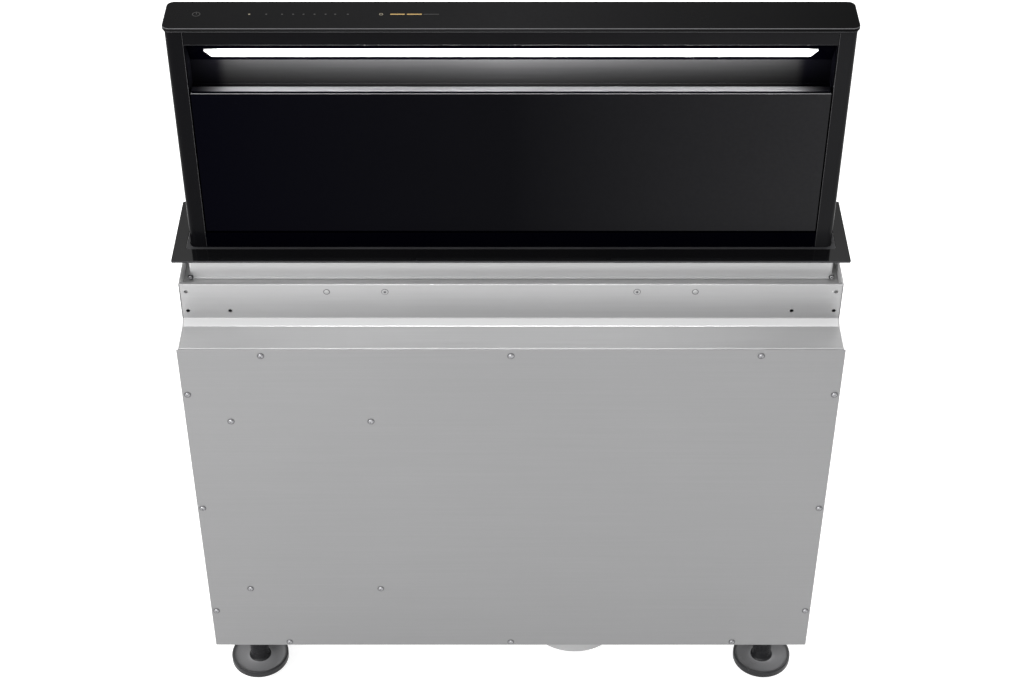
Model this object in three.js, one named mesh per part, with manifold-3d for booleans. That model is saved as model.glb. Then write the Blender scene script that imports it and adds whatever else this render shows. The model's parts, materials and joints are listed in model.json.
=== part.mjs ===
// Downdraft vent: an extractor chimney that rises out of a sheet-steel casing under a worktop.
// Millimetres, +Z up, the front faces -Y. The origin is on the floor, midway in width and depth.
// The chimney is drawn raised, its working position.
import * as THREE from "three";
import { mergeVertices } from "three/addons/utils/BufferGeometryUtils.js";
import Module from "manifold-3d";

const wasm = await Module();
wasm.setup();

// Clearances and sheet
const touchGap = 0.3; // between two pieces that touch
const runGap = 0.5; // around the chimney where it slides
const sheet = 1.2; // casing and chimney sheet

// Chimney
const chimneyWidth = 872;
const chimneyDepth = 58;
const lift = 338; // travel, and the height that stands above the worktop
const chimneyTail = 94; // chimney left below the frame's top when raised
const postFace = 23;
const postRadius = 9;
const postWall = 2;
const capSideReach = 2; // cap beyond the chimney's sides
const capReach = 4; // and beyond its front and back
const capThick = 5;
const capRadius = 10;
const trayThick = 1.7; // thin tray under the cap plate
const trayStep = 1;
const fasciaHeight = 21;
const fasciaReturn = 8;
const slotHeight = 68;
const slotDepth = 27;
const slotWallDrop = 4; // slot's back wall below the ledge
const cheekRise = 2; // slot's lower cheeks above the ledge

// Worktop frame, the black plate that lies on the worktop
const openingSideGap = 5; // opening beyond the chimney's sides
const openingGap = 6; // and beyond its front and back
const openingRadius = 4;
const sideBorder = 17; // frame metal beside the opening
const frontBorder = 27;
const backBorder = 39;
const frameThick = 3;
const frameRadius = 2;
const sealThick = 2.6;
const sealDrop = 0.5; // seal lip below the frame's top

// Lift shaft
const sleeveInset = 1; // sleeve inside the opening's sides
const sleeveHeight = 46.6;
const sleeveWall = 1;
const sleeveLip = 2;
const shaftOverlap = 15; // guide shaft inside the sleeve
const shaftRise = 6; // its lower end above the raised chimney's

// Casing
const casingMargin = 9; // casing beyond the opening's sides
const coverMargin = 2.5; // cover beyond the casing's sides
const coverAhead = 70; // cover plate ahead of the frame's front edge
const backSetIn = 6; // casing back inside the frame's back edge
const wallAhead = 11; // upper front wall ahead of the frame's front edge
const wallHeight = 60;
const rimFold = 5;
const shoulderRun = 11;
const shoulderRise = 6;
const ledgeRise = 1; // ledge above the cover's top edge
const flangeFold = 20; // fold behind the cover's top edge
const sideFlange = 10;
const trayFlange = 15;
const worktopRoom = 27; // worktop thickness between casing rim and frame

// Screws and holes in the casing
const headRadius = 4.2;
const headHeight = 2;
const rowScrewDrop = 11; // top screw row below the cover's top edge
const lowScrewRise = 7; // bottom row above its bottom edge
const rowScrewInset = 113.5; // outer screws of a row inside the cover's sides
const sideScrewInset = 7.5;
const sideScrewDrops = [81, 300, 517]; // side screws below the cover's top edge
const bracketHoleRadius = 2.6;
const bracketHoleDrops = [14, 47]; // bracket holes below the casing rim
const bracketHoleInset = 9; // and inside its sides
const innerHoleInset = 66.5;
const wallScrewX = 171;
const wallScrewRadius = 3.2;
const dimpleX = 250;
const dimpleRadius = 4;
const dimpleHeight = 0.6;

// Feet
const footHeight = 89;
const footSideInset = 54; // foot centre inside the casing's side
const footFrontInset = 55; // behind the cover's front face
const footBackInset = 46; // ahead of the casing's back
const footRadius = 44.5;
const footRim = 12;
const footDish = 6;
const hubHeight = 21.7;
const hubRadius = 11;
const studRadius = 6;
const studRoom = 10; // above the stud, for screwing it in
const socketTopRadius = 15;
const socketFlange = 22;
const socketFlangeThick = 3;

// Light
const lampTopDepth = 13; // lamp housing's front behind the chimney's front
const lampFrontDrop = 12; // its front's lower edge below the fascia
const lampHeight = 57.2;
const diffuserStart = 0.04; // place on the housing's sloping face, as a share of it
const diffuserEnd = 0.7;
const diffuserInset = 26; // its ends inside the housing's
const diffuserSlant = 6; // its lower edge is shorter by this at each end
const diffuserThick = 2.5;

// Front panel
const glassHeight = 220;
const glassThick = 4;
const glassSideGap = 2;
const glassTopGap = 1.8;
const ledgeDepth = 12;
const ledgeLip = 6;
const pivotGap = 0.9; // between the panel's carrier and the stay of its pivot
const pivotUp = 1; // pivot above the glass's lower edge
const pivotPin = 2;
const earRadius = 3.6;
const earThick = 2;
const earInset = 12; // pivot ears inside the glass's sides
const panelDrop = 4.5; // room under the glass for its tilt

// Grease filters
const filterCount = 3;
const filterMargin = 35; // outer filters inside the chimney's sides
const filterLowRoom = 16.75; // filters above the lower front
const filterHighRoom = 10.75; // and below the slot's wall
const filterThick = 10;
const filterBar = 8;
const filterSlots = 9;
const filterRib = 6;
const filterProud = 2; // filter's middle behind its frame's plate
const framePlateBack = 26; // filter frame's plate behind the chimney's front

// Lift drive
const carriageHeight = 13.7;
const carriageRail = 10;
const spindleInset = 56; // spindle axis inside the chimney's side
const spindleRadius = 6;
const spindleTail = 5; // spindle below the lowered nut
const journalRadius = 5;
const bearingHalf = 12;
const bearingGap = 2; // above the raised carriage
const nutRadius = 9.7;
const nutFlange = 13.5;
const nutDrop = 4;
const armHalf = 16;
const motorRadius = 14;
const motorLength = 62;
const gearboxHalf = 15;
const gearboxLength = 38;
const drivePlate = 3.5;
const drivePlateReach = 8; // plate beside the gearbox
const shoeHalf = 7.5;
const shoeGap = 0.8; // shoe to rail
const railWall = 1.2;
const railReach = 10.5;
const railTail = 8; // rail below the lowered carriage

// Duct
const ductX = 99;
const ductFrontInset = 95; // duct axis behind the cover's front face
const spigotRadius = 74.5;
const spigotWall = 1.5;
const spigotDrop = 39; // below the casing
const spigotRise = 50; // above the casing's bottom
const flangeReach = 7;
const damperDrop = 14; // flap pin below the spigot's top
const damperPin = 2.5;
const knuckleRadius = 4.5;
const knuckleRelief = 0.9;
const knuckleInset = 8; // outer knuckles inside the flap's edge
const knuckleCount = 4;
const flapThick = 1.5;
const flapGap = 0.7; // flap to spigot
const flapSeam = 0.4; // each flap's edge from the pin's axis

// Blower
const impellerRadius = 70;
const impellerDepth = 100;
const impellerRoom = 12; // blower wall beside the impeller
const bladeCount = 22;
const bladeDepth = 12; // radial
const bladeThick = 1.2;
const bladeLean = 0.16; // radians that a blade's tip leans forward
const impellerRing = 2;
const hubFront = 4;
const hubBack = 20;
const voluteGap = 6; // impeller to the spiral's start
const voluteGrowth = 38.25;
const voluteWall = 2;
const tongueAngle = 54; // degrees below the horizontal
const inletLap = 10; // inlet smaller than the impeller
const blowerGap = 1; // spiral above the spigot's plate
const blowerHeadroom = 4.5; // lowered chimney above the blower
const fanMotorGap = 18; // motor to blades
const fanMotorRoom = 3; // motor to hub
const fanShaft = 4;
const shaftDepth = 30; // shaft inside the motor
const bracketArm = 12;
const bracketLap = 9; // bracket arms beyond the inlet

// Electronics
const boxSideInset = 60.5; // the box's screws inside the casing's left side
const boxScrewSpan = 194.8;
const boxScrewDrops = [130.6, 468.5]; // its screws below the cover's top edge
const boxDepth = 50;
const boxFlange = 9;
const boardThick = 1.6;
const boardMargin = 12;
const boardStand = 8;
const boardStandRadius = 3;
const transformerSide = 45;
const transformerDepth = 24;
const transformerRise = 60; // above the box's lower edge
const terminalWidth = 120;
const terminalHeight = 15;
const terminalDepth = 12;
const terminalDrop = 30; // below the box's upper edge
const glandSideInset = 150; // gland inside the casing's left side
const glandBackInset = 58; // and ahead of its back
const glandRadius = 9;
const glandNeck = 7;
const glandLength = 12;
const glandCollar = 4;
const glandBore = 5;

// Widths and sideways places
const chimneyX = chimneyWidth / 2;
const openingWidth = chimneyWidth + 2 * openingSideGap;
const frameWidth = openingWidth + 2 * sideBorder;
const casingWidth = openingWidth + 2 * casingMargin;
const coverWidth = casingWidth + 2 * coverMargin;
const casingX = casingWidth / 2;
const innerX = casingX - sheet - touchGap; // reach of pieces between the side panels
const postX = chimneyX - postFace;
const slotX = postX - runGap;
const spindleX = chimneyX - spindleInset;
const boxScrewX = [-casingX + boxSideInset, -casingX + boxSideInset + boxScrewSpan];
const glandX = -casingX + glandSideInset;

// The spiral's radius, an angle in degrees past the horizontal outlet side
function voluteRadius(angle) {
  const share = (angle - tongueAngle) / (360 - tongueAngle);
  return impellerRadius + voluteGap + voluteGrowth * share;
}

// Levels, from the floor up: the casing is as high as the blower and the lowered chimney need.
const casingBottomZ = footHeight;
const spigotTopZ = casingBottomZ + spigotRise;
const voluteFlangeZ = spigotTopZ + voluteWall;
const blowerZ = voluteFlangeZ + blowerGap + voluteRadius(90) + voluteWall;
const blowerTopZ = blowerZ + voluteRadius(270) + voluteWall;
const carriageLowZ = blowerTopZ + blowerHeadroom + lift;
const carriageTopZ = carriageLowZ + carriageHeight;
const chimneyBottomZ = carriageTopZ + touchGap;
const frameTopZ = chimneyBottomZ + chimneyTail;
const frameUnderZ = frameTopZ - frameThick;
const rimZ = frameUnderZ - worktopRoom;
const shoulderTopZ = rimZ - wallHeight;
const ledgeZ = shoulderTopZ - shoulderRise;
const coverTopZ = ledgeZ - ledgeRise;
const trayZ = frameTopZ + lift;
const chimneyTopZ = trayZ - touchGap;
const fasciaLowZ = trayZ - fasciaHeight;
const panelLedgeZ = fasciaLowZ - slotHeight;
const slotWallLowZ = panelLedgeZ - slotWallDrop;
const glassTopZ = panelLedgeZ - sheet - glassTopGap;
const glassLowZ = glassTopZ - glassHeight;

// Planes, from the back of the frame to the front of the cover
const openingDepth = chimneyDepth + 2 * openingGap;
const frameDepth = frontBorder + openingDepth + backBorder;
const overallDepth = frameDepth + coverAhead + headHeight;
const frameBackY = overallDepth / 2;
const frameFrontY = frameBackY - frameDepth;
const coverFrontY = frameFrontY - coverAhead;
const coverBackY = coverFrontY + sheet;
const casingFrontY = coverBackY + touchGap;
const casingBackY = frameBackY - backSetIn;
const backPanelY = casingBackY - sheet; // its inner face
const flangeBackY = backPanelY - touchGap; // back of the side panels
const innerBackY = flangeBackY - sheet - touchGap; // reach of pieces inside their flanges
const wallY = frameFrontY - wallAhead;
const openingFrontY = frameFrontY + frontBorder;
const openingBackY = openingFrontY + openingDepth;
const midY = (openingFrontY + openingBackY) / 2;
const chimneyFrontY = midY - chimneyDepth / 2;
const chimneyBackY = midY + chimneyDepth / 2;
const ductY = coverFrontY + ductFrontInset;
const glandY = casingBackY - glandBackInset;
const spindleY = backPanelY - touchGap - drivePlate - gearboxHalf;

// Materials
function finish(color, roughness, metalness) {
  return new THREE.MeshStandardMaterial({ color, roughness, metalness });
}
const blackGlass = finish(0x0b0b0e, 0.08, 0);
const blackSteel = finish(0x1a1a1b, 0.35, 0.4);
const steel = finish(0xbcbcbc, 0.42, 0.9);
const brightSteel = finish(0xd2d2d2, 0.3, 1);
const darkPlastic = finish(0x2b2c2f, 0.6, 0);
const paleLight = finish(0xf8faff, 0.3, 0);
const rubber = finish(0x222226, 0.8, 0);
const aluminium = finish(0xb8babd, 0.45, 0.9);
const boardGreen = finish(0x1f5a3a, 0.5, 0);
const motorGrey = finish(0x4a4c50, 0.5, 0.6);

// A closed geometry as a solid for joining and cutting.
function solidOf(geometry) {
  const bare = geometry.clone();
  bare.deleteAttribute("normal");
  bare.deleteAttribute("uv");
  const merged = mergeVertices(bare, 1e-4);
  const vertProperties = merged.attributes.position.array;
  const triVerts = new Uint32Array(merged.index.array);
  return new wasm.Manifold(new wasm.Mesh({ numProp: 3, vertProperties, triVerts }));
}

function geometryOf(solid) {
  const mesh = solid.getMesh();
  const shared = new THREE.BufferGeometry();
  shared.setAttribute("position", new THREE.BufferAttribute(mesh.vertProperties, 3));
  shared.setIndex(new THREE.BufferAttribute(mesh.triVerts, 1));
  const flat = shared.toNonIndexed();
  flat.computeVertexNormals();
  return flat;
}

function join(...solids) {
  return solids.flat().reduce((all, next) => all.add(next));
}

function cut(solid, ...tools) {
  return tools.flat().reduce((left, tool) => left.subtract(tool), solid);
}

// Outlines, in the plane across their prism
function roundedRect(x0, x1, y0, y1, r) {
  const s = new THREE.Shape();
  s.moveTo(x0 + r, y0);
  s.lineTo(x1 - r, y0);
  s.absarc(x1 - r, y0 + r, r, -Math.PI / 2, 0);
  s.lineTo(x1, y1 - r);
  s.absarc(x1 - r, y1 - r, r, 0, Math.PI / 2);
  s.lineTo(x0 + r, y1);
  s.absarc(x0 + r, y1 - r, r, Math.PI / 2, Math.PI);
  s.lineTo(x0, y0 + r);
  s.absarc(x0 + r, y0 + r, r, Math.PI, 1.5 * Math.PI);
  return s;
}

function circle(x, y, r) {
  const s = new THREE.Shape();
  s.absarc(x, y, r, 0, 2 * Math.PI);
  return s;
}

function polygon(points) {
  return new THREE.Shape(points.map(([x, y]) => new THREE.Vector2(x, y)));
}

// The outline of a sheet bent along a path, its thickness to the left of the path.
function bentSheet(path, thick) {
  const normals = path.slice(1).map(([x, y], i) => {
    const dx = x - path[i][0];
    const dy = y - path[i][1];
    const length = Math.hypot(dx, dy);
    return [-dy / length, dx / length];
  });
  const inner = path.map(([x, y], i) => {
    const a = normals[Math.max(i - 1, 0)];
    const b = normals[Math.min(i, normals.length - 1)];
    const mitre = thick / (1 + a[0] * b[0] + a[1] * b[1]);
    return [x + (a[0] + b[0]) * mitre, y + (a[1] + b[1]) * mitre];
  });
  return polygon([...path, ...inner.reverse()]);
}

// Prisms along each axis: outlines are (y, z) for X, (x, z) for Y and (x, y) for Z.
const axisX = new THREE.Vector3(1, 0, 0);
const axisY = new THREE.Vector3(0, 1, 0);
const axisZ = new THREE.Vector3(0, 0, 1);
const alongX = new THREE.Matrix4().makeBasis(axisY, axisZ, axisX);
const alongY = new THREE.Matrix4().makeBasis(axisX, axisZ, axisY.clone().negate());

function extrude(outline, depth, curveSegments) {
  return new THREE.ExtrudeGeometry(outline, { depth, curveSegments, bevelEnabled: false });
}

function prismX(outline, x0, x1, segments = 3) {
  return solidOf(extrude(outline, x1 - x0, segments).applyMatrix4(alongX).translate(x0, 0, 0));
}

function prismY(outline, y0, y1, segments = 3) {
  return solidOf(extrude(outline, y1 - y0, segments).applyMatrix4(alongY).translate(0, y1, 0));
}

function prismZ(outline, z0, z1, segments = 3) {
  return solidOf(extrude(outline, z1 - z0, segments).translate(0, 0, z0));
}

function block(x0, x1, y0, y1, z0, z1) {
  const box = new THREE.BoxGeometry(x1 - x0, y1 - y0, z1 - z0);
  return solidOf(box.translate((x0 + x1) / 2, (y0 + y1) / 2, (z0 + z1) / 2));
}

// A profile of (radius, height) points turned about a vertical axis.
function turned(points, x, y, sides = 32) {
  const profile = points.map(([r, z]) => new THREE.Vector2(r, z));
  const lathe = new THREE.LatheGeometry(profile, sides);
  return solidOf(lathe.rotateX(Math.PI / 2).translate(x, y, 0));
}

// A piece and its mirror image across the middle of the object
function mirrored(solid) {
  return solid.mirror([1, 0, 0]);
}

const vent = new THREE.Group();

function addPiece(name, solid, material) {
  const mesh = new THREE.Mesh(geometryOf(solid), material);
  mesh.name = name;
  vent.add(mesh);
}

function addPair(name, rightSolid, material) {
  addPiece(name + "_right", rightSolid, material);
  addPiece(name + "_left", mirrored(rightSolid), material);
}

// A low round head on a face that looks forward.
function frontDome(x, faceY, z, radius, height) {
  const root = sheet / 2;
  const profile = [
    [0, -root],
    [radius, -root],
    [radius, 0.3 * height],
    [0.6 * radius, 0.85 * height],
    [0, height],
  ].map(([r, h]) => new THREE.Vector2(r, h));
  const lathe = new THREE.LatheGeometry(profile, 10);
  return solidOf(lathe.rotateX(Math.PI).translate(x, faceY, z));
}

// ---- Worktop frame and lift shaft ----

function worktopFrame() {
  const halfWidth = frameWidth / 2;
  const halfOpening = openingWidth / 2;
  const plate = roundedRect(-halfWidth, halfWidth, frameFrontY, frameBackY, frameRadius);
  plate.holes.push(
    roundedRect(-halfOpening, halfOpening, openingFrontY, openingBackY, openingRadius),
  );
  return prismZ(plate, frameUnderZ, frameTopZ);
}

function openingSeal() {
  const outer = openingWidth / 2 - touchGap;
  const inner = chimneyX + runGap;
  const lip = roundedRect(
    -outer,
    outer,
    openingFrontY + touchGap,
    openingBackY - touchGap,
    openingRadius - touchGap,
  );
  lip.holes.push(
    roundedRect(
      -inner,
      inner,
      chimneyFrontY - runGap,
      chimneyBackY + runGap,
      postRadius + runGap,
    ),
  );
  const top = frameTopZ - sealDrop;
  return prismZ(lip, top - sealThick, top);
}

const sealLowZ = frameTopZ - sealDrop - sealThick;
const sleeveTopZ = Math.min(frameUnderZ, sealLowZ) - touchGap;
const sleeveLowZ = sleeveTopZ - sleeveHeight;
const shaftLowZ = chimneyBottomZ + shaftRise;

// A rectangular tube with square-cut ends, given by its outer faces.
function tube(halfX, y0, y1, wall, radius, z0, z1) {
  const outline = roundedRect(-halfX, halfX, y0, y1, radius);
  outline.holes.push(
    roundedRect(-halfX + wall, halfX - wall, y0 + wall, y1 - wall, radius - wall),
  );
  return prismZ(outline, z0, z1, 2);
}

function collarSleeve() {
  const half = openingWidth / 2 - sleeveInset;
  const walls = tube(
    half,
    openingFrontY,
    openingBackY,
    sleeveWall,
    openingRadius,
    sleeveLowZ,
    sleeveTopZ,
  );
  const lip = tube(
    half + sleeveLip,
    openingFrontY - sleeveLip,
    openingBackY + sleeveLip,
    sleeveLip + sleeveWall / 2,
    openingRadius + sleeveLip,
    sleeveLowZ,
    sleeveLowZ + sheet,
  );
  return join(walls, lip);
}

// A tube in the sleeve, on a shelf that closes the casing's top round it
function guideShaft() {
  const half = openingWidth / 2 - sleeveInset - sleeveWall - touchGap;
  const front = openingFrontY + sleeveWall + touchGap;
  const back = openingBackY - sleeveWall - touchGap;
  const radius = openingRadius - sleeveWall;
  const top = sleeveLowZ + shaftOverlap;
  const walls = tube(half, front, back, sleeveWall, radius, shaftLowZ, top);
  const shelf = roundedRect(-innerX, innerX, wallY + sheet + touchGap, innerBackY, 2);
  shelf.holes.push(
    roundedRect(
      -half + sleeveWall / 2,
      half - sleeveWall / 2,
      front + sleeveWall / 2,
      back - sleeveWall / 2,
      radius,
    ),
  );
  const shelfTop = sleeveLowZ - touchGap;
  return join(walls, prismZ(shelf, shelfTop - sheet, shelfTop, 2));
}

// ---- Casing ----

function upperFrontPanel() {
  const path = [
    [wallY + rimFold, rimZ],
    [wallY, rimZ],
    [wallY, shoulderTopZ],
    [wallY - shoulderRun, ledgeZ],
    [casingFrontY, ledgeZ],
    [casingFrontY, ledgeZ - flangeFold],
  ];
  const panel = prismX(bentSheet(path, sheet), -innerX, innerX);
  const spots = bracketHoleDrops.map((drop) => [casingX - bracketHoleInset, drop]);
  spots.push([casingX - innerHoleInset, bracketHoleDrops[1]]);
  const tools = spots.flatMap(([x, drop]) =>
    [-x, x].map((at) => {
      const hole = circle(at, rimZ - drop, bracketHoleRadius);
      return prismY(hole, wallY - sheet, wallY + 2 * sheet, 4);
    }),
  );
  const z = rimZ - bracketHoleDrops[0];
  const heads = [-1, 1].flatMap((side) => [
    frontDome(side * wallScrewX, wallY, z, wallScrewRadius, headHeight / 2),
    frontDome(side * dimpleX, wallY, z, dimpleRadius, dimpleHeight),
  ]);
  return join(cut(panel, tools), heads);
}

function sidePanel() {
  const outline = polygon([
    [casingFrontY, casingBottomZ],
    [flangeBackY, casingBottomZ],
    [flangeBackY, rimZ],
    [wallY, rimZ],
    [wallY, shoulderTopZ],
    [wallY - shoulderRun, ledgeZ],
    [casingFrontY, ledgeZ],
  ]);
  const outer = casingX;
  const inner = outer - sheet;
  const frontTop = ledgeZ - flangeFold - touchGap;
  return join(
    prismX(outline, inner, outer),
    block(inner - sideFlange, outer, casingFrontY, casingFrontY + sheet, casingBottomZ, frontTop),
    block(inner - sideFlange, outer, flangeBackY - sheet, flangeBackY, casingBottomZ, rimZ),
  );
}

function backPanel() {
  return block(-casingX, casingX, backPanelY, casingBackY, casingBottomZ, rimZ);
}

function bottomPanel() {
  const y0 = casingFrontY + sheet + touchGap;
  const y1 = innerBackY;
  const z0 = casingBottomZ;
  const top = z0 + trayFlange;
  const plate = roundedRect(-innerX, innerX, y0, y1, sheet);
  const tray = cut(
    prismZ(plate, z0, top, 1),
    block(-innerX + sheet, innerX - sheet, y0 + sheet, y1 - sheet, z0 + sheet, top + 1),
  );
  const ductHole = prismZ(circle(ductX, ductY, spigotRadius + touchGap), z0 - 1, top, 24);
  const glandHole = prismZ(circle(glandX, glandY, glandNeck + touchGap), z0 - 1, top, 8);
  return cut(tray, ductHole, glandHole);
}

function frontCover() {
  const half = coverWidth / 2;
  const plate = block(-half, half, coverFrontY, coverBackY, casingBottomZ, coverTopZ);
  const heads = [];
  const rowX = half - rowScrewInset;
  const sideX = half - sideScrewInset;
  for (const x of [-rowX, 0, rowX])
    heads.push([x, coverTopZ - rowScrewDrop], [x, casingBottomZ + lowScrewRise]);
  for (const drop of sideScrewDrops) heads.push([-sideX, coverTopZ - drop], [sideX, coverTopZ - drop]);
  for (const x of boxScrewX)
    for (const drop of boxScrewDrops) heads.push([x, coverTopZ - drop]);
  const domes = heads.map(([x, z]) => frontDome(x, coverFrontY, z, headRadius, headHeight));
  return join(plate, domes);
}

// ---- Feet: a socket under the casing, and a base on a stud that screws up into it ----

function footSocket(x, y) {
  const bore = studRadius + touchGap;
  const low = hubHeight + touchGap;
  const top = casingBottomZ - touchGap;
  const profile = [
    [bore, low],
    [hubRadius + 0.5, low],
    [socketTopRadius, top - 2 * socketFlangeThick],
    [socketFlange, top - socketFlangeThick],
    [socketFlange, top],
    [bore, top],
    [bore, low],
  ];
  return turned(profile, x, y, 20);
}

function footBase(x, y) {
  const chamfer = 2;
  const top = casingBottomZ - touchGap - studRoom;
  const profile = [
    [0, 0],
    [footRadius - chamfer, 0],
    [footRadius, chamfer],
    [footRadius, footRim - 1],
    [footRadius - 1, footRim],
    [footRadius - 3, footRim],
    [footRadius - 6, footDish],
    [hubRadius + 5, footDish],
    [hubRadius + 1, footDish + 2],
    [hubRadius, footDish + 6],
    [hubRadius, hubHeight],
    [studRadius, hubHeight],
    [studRadius, top - 1],
    [studRadius - 1, top],
    [0, top],
  ];
  return turned(profile, x, y, 22);
}

// ---- Chimney ----

// A side post is a rounded channel that opens inwards.
function sidePost() {
  const a = chimneyX;
  const r = postRadius;
  const w = postWall;
  const s = new THREE.Shape();
  s.moveTo(postX, chimneyFrontY);
  s.lineTo(a - r, chimneyFrontY);
  s.absarc(a - r, chimneyFrontY + r, r, -Math.PI / 2, 0);
  s.lineTo(a, chimneyBackY - r);
  s.absarc(a - r, chimneyBackY - r, r, 0, Math.PI / 2);
  s.lineTo(postX, chimneyBackY);
  s.lineTo(postX, chimneyBackY - w);
  s.lineTo(a - r, chimneyBackY - w);
  s.absarc(a - r, chimneyBackY - r, r - w, Math.PI / 2, 0, true);
  s.lineTo(a - w, chimneyFrontY + r);
  s.absarc(a - r, chimneyFrontY + r, r - w, 0, -Math.PI / 2, true);
  s.lineTo(postX, chimneyFrontY + w);
  return prismZ(s, chimneyBottomZ, chimneyTopZ, 3);
}

function capTray() {
  const half = chimneyX + capSideReach - trayStep;
  const reach = chimneyDepth / 2 + capReach - trayStep;
  const outline = roundedRect(-half, half, midY - reach, midY + reach, capRadius - trayStep);
  return prismZ(outline, trayZ, trayZ + trayThick, 4);
}

function capPlate() {
  const half = chimneyX + capSideReach;
  const low = trayZ + trayThick + touchGap;
  const reach = chimneyDepth / 2 + capReach;
  const outline = roundedRect(-half, half, midY - reach, midY + reach, capRadius);
  return prismZ(outline, low, low + capThick, 4);
}

function fascia() {
  const front = chimneyFrontY + runGap;
  const path = [
    [front, chimneyTopZ],
    [front, fasciaLowZ],
    [front + fasciaReturn, fasciaLowZ],
  ];
  return prismX(bentSheet(path, sheet), -slotX, slotX);
}

const slotBackY = chimneyFrontY + slotDepth;

function slotLining() {
  const cheekFront = chimneyFrontY + runGap + sheet + fasciaReturn + touchGap;
  const back = block(-slotX, slotX, slotBackY, slotBackY + sheet, slotWallLowZ, chimneyTopZ);
  const cheeks = [-slotX, slotX - sheet].map((x) =>
    block(x, x + sheet, cheekFront, slotBackY + sheet, slotWallLowZ, chimneyTopZ),
  );
  const cheekLow = panelLedgeZ + cheekRise;
  const lowCheeks = [-slotX, slotX - sheet].map((x) =>
    block(x, x + sheet, chimneyFrontY + postWall, slotBackY, cheekLow, fasciaLowZ - touchGap),
  );
  return join(back, cheeks, lowCheeks);
}

// The lamp housing's sloping face runs from its front's lower edge back to the slot's wall.
const lampFrontY = chimneyFrontY + lampTopDepth;
const lampBackY = slotBackY - touchGap;
const lampHighZ = fasciaLowZ - lampFrontDrop;
const lampLowZ = chimneyTopZ - lampHeight;
const lampX = slotX - sheet - touchGap;
const slope = new THREE.Vector2(lampBackY - lampFrontY, lampLowZ - lampHighZ);
const inward = new THREE.Vector2(-slope.y, slope.x).normalize();

// A point on the lamp's sloping face: share is the way along it, depth is into the housing.
function lampPoint(share, depth) {
  const y = lampFrontY + slope.x * share + inward.x * depth;
  const z = lampHighZ + slope.y * share + inward.y * depth;
  return [y, z];
}

// The diffuser is a bar with slanting ends: wider along its upper edge.
function diffuserBar(grow, depth) {
  const shareGap = grow / slope.length();
  const profile = polygon([
    lampPoint(diffuserStart - shareGap, -runGap),
    lampPoint(diffuserStart - shareGap, depth),
    lampPoint(diffuserEnd + shareGap, depth),
    lampPoint(diffuserEnd + shareGap, -runGap),
  ]);
  const half = lampX - diffuserInset + grow;
  const bar = prismX(profile, -half, half);
  const high = lampPoint(diffuserStart, 0);
  const low = lampPoint(diffuserEnd, 0);
  const reach = slotDepth;
  const wedge = polygon([
    [half, high[1]],
    [half + 1, high[1]],
    [half + 1, low[1] - 2],
    [half - diffuserSlant, low[1] - 2],
    [half - diffuserSlant, low[1]],
  ]);
  const right = prismY(wedge, lampFrontY - reach, lampBackY + reach);
  return cut(bar, right, mirrored(right));
}

function lampHousing() {
  const outline = polygon([
    [lampBackY, chimneyTopZ - touchGap],
    [lampFrontY, chimneyTopZ - touchGap],
    [lampFrontY, lampHighZ],
    [lampBackY, lampLowZ],
  ]);
  const body = prismX(outline, -lampX, lampX);
  return cut(body, diffuserBar(touchGap, diffuserThick + touchGap));
}

function chimneyBack() {
  const y1 = chimneyBackY - postWall - touchGap;
  const half = chimneyX - postRadius;
  return block(-half, half, y1 - sheet, y1, chimneyBottomZ, chimneyTopZ);
}

// The panel's carrier is behind the glass, and the panel turns on pins behind the carrier.
const carrierY = chimneyFrontY + glassThick + touchGap;
const pivotY = carrierY + sheet + pivotGap + earRadius;
const pivotZ = glassLowZ + pivotUp;
const lowerFrontTopZ = glassLowZ - panelDrop;

function lowerFront() {
  const front = chimneyFrontY + 1;
  const path = [
    [front + ledgeDepth, lowerFrontTopZ],
    [front, lowerFrontTopZ],
    [front, chimneyBottomZ],
    [front + ledgeDepth, chimneyBottomZ],
  ];
  return prismX(bentSheet(path, sheet), -slotX, slotX);
}

const framePlateY = chimneyFrontY + framePlateBack;
const filterLowZ = lowerFrontTopZ + filterLowRoom;
const filterHighZ = slotWallLowZ - filterHighRoom;
const filterMidZ = (filterLowZ + filterHighZ) / 2;
const filterSpan = chimneyWidth - 2 * filterMargin + filterBar;
const filterPitch = filterSpan / filterCount;
const filterWidth = filterPitch - filterBar;
const earX = postX - glassSideGap - earInset;

// Middle of each grease filter, left to right
const filterMiddles = Array.from(
  { length: filterCount },
  (_, i) => (i - (filterCount - 1) / 2) * filterPitch,
);

function filterFrame() {
  const half = chimneyX - postWall - runGap;
  const low = lowerFrontTopZ + touchGap;
  const plate = block(-half, half, framePlateY, framePlateY + sheet, low, slotWallLowZ - touchGap);
  const windows = filterMiddles.map((x) =>
    block(
      x - filterWidth / 2 - touchGap,
      x + filterWidth / 2 + touchGap,
      framePlateY - sheet,
      framePlateY + 2 * sheet,
      filterLowZ - touchGap,
      filterHighZ + touchGap,
    ),
  );
  const ear = roundedRect(
    pivotY - earRadius + touchGap,
    framePlateY + sheet / 2,
    pivotZ - earRadius + touchGap,
    pivotZ + earRadius,
    1,
  );
  const earFrom = earX + earThick + touchGap;
  const stay = prismX(ear, earFrom, earFrom + earThick);
  const pin = prismX(circle(pivotY, pivotZ, pivotPin), earX - 2, earFrom + earThick / 2, 6);
  const hinge = join(stay, pin);
  return join(cut(plate, windows), hinge, mirrored(hinge));
}

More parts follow.
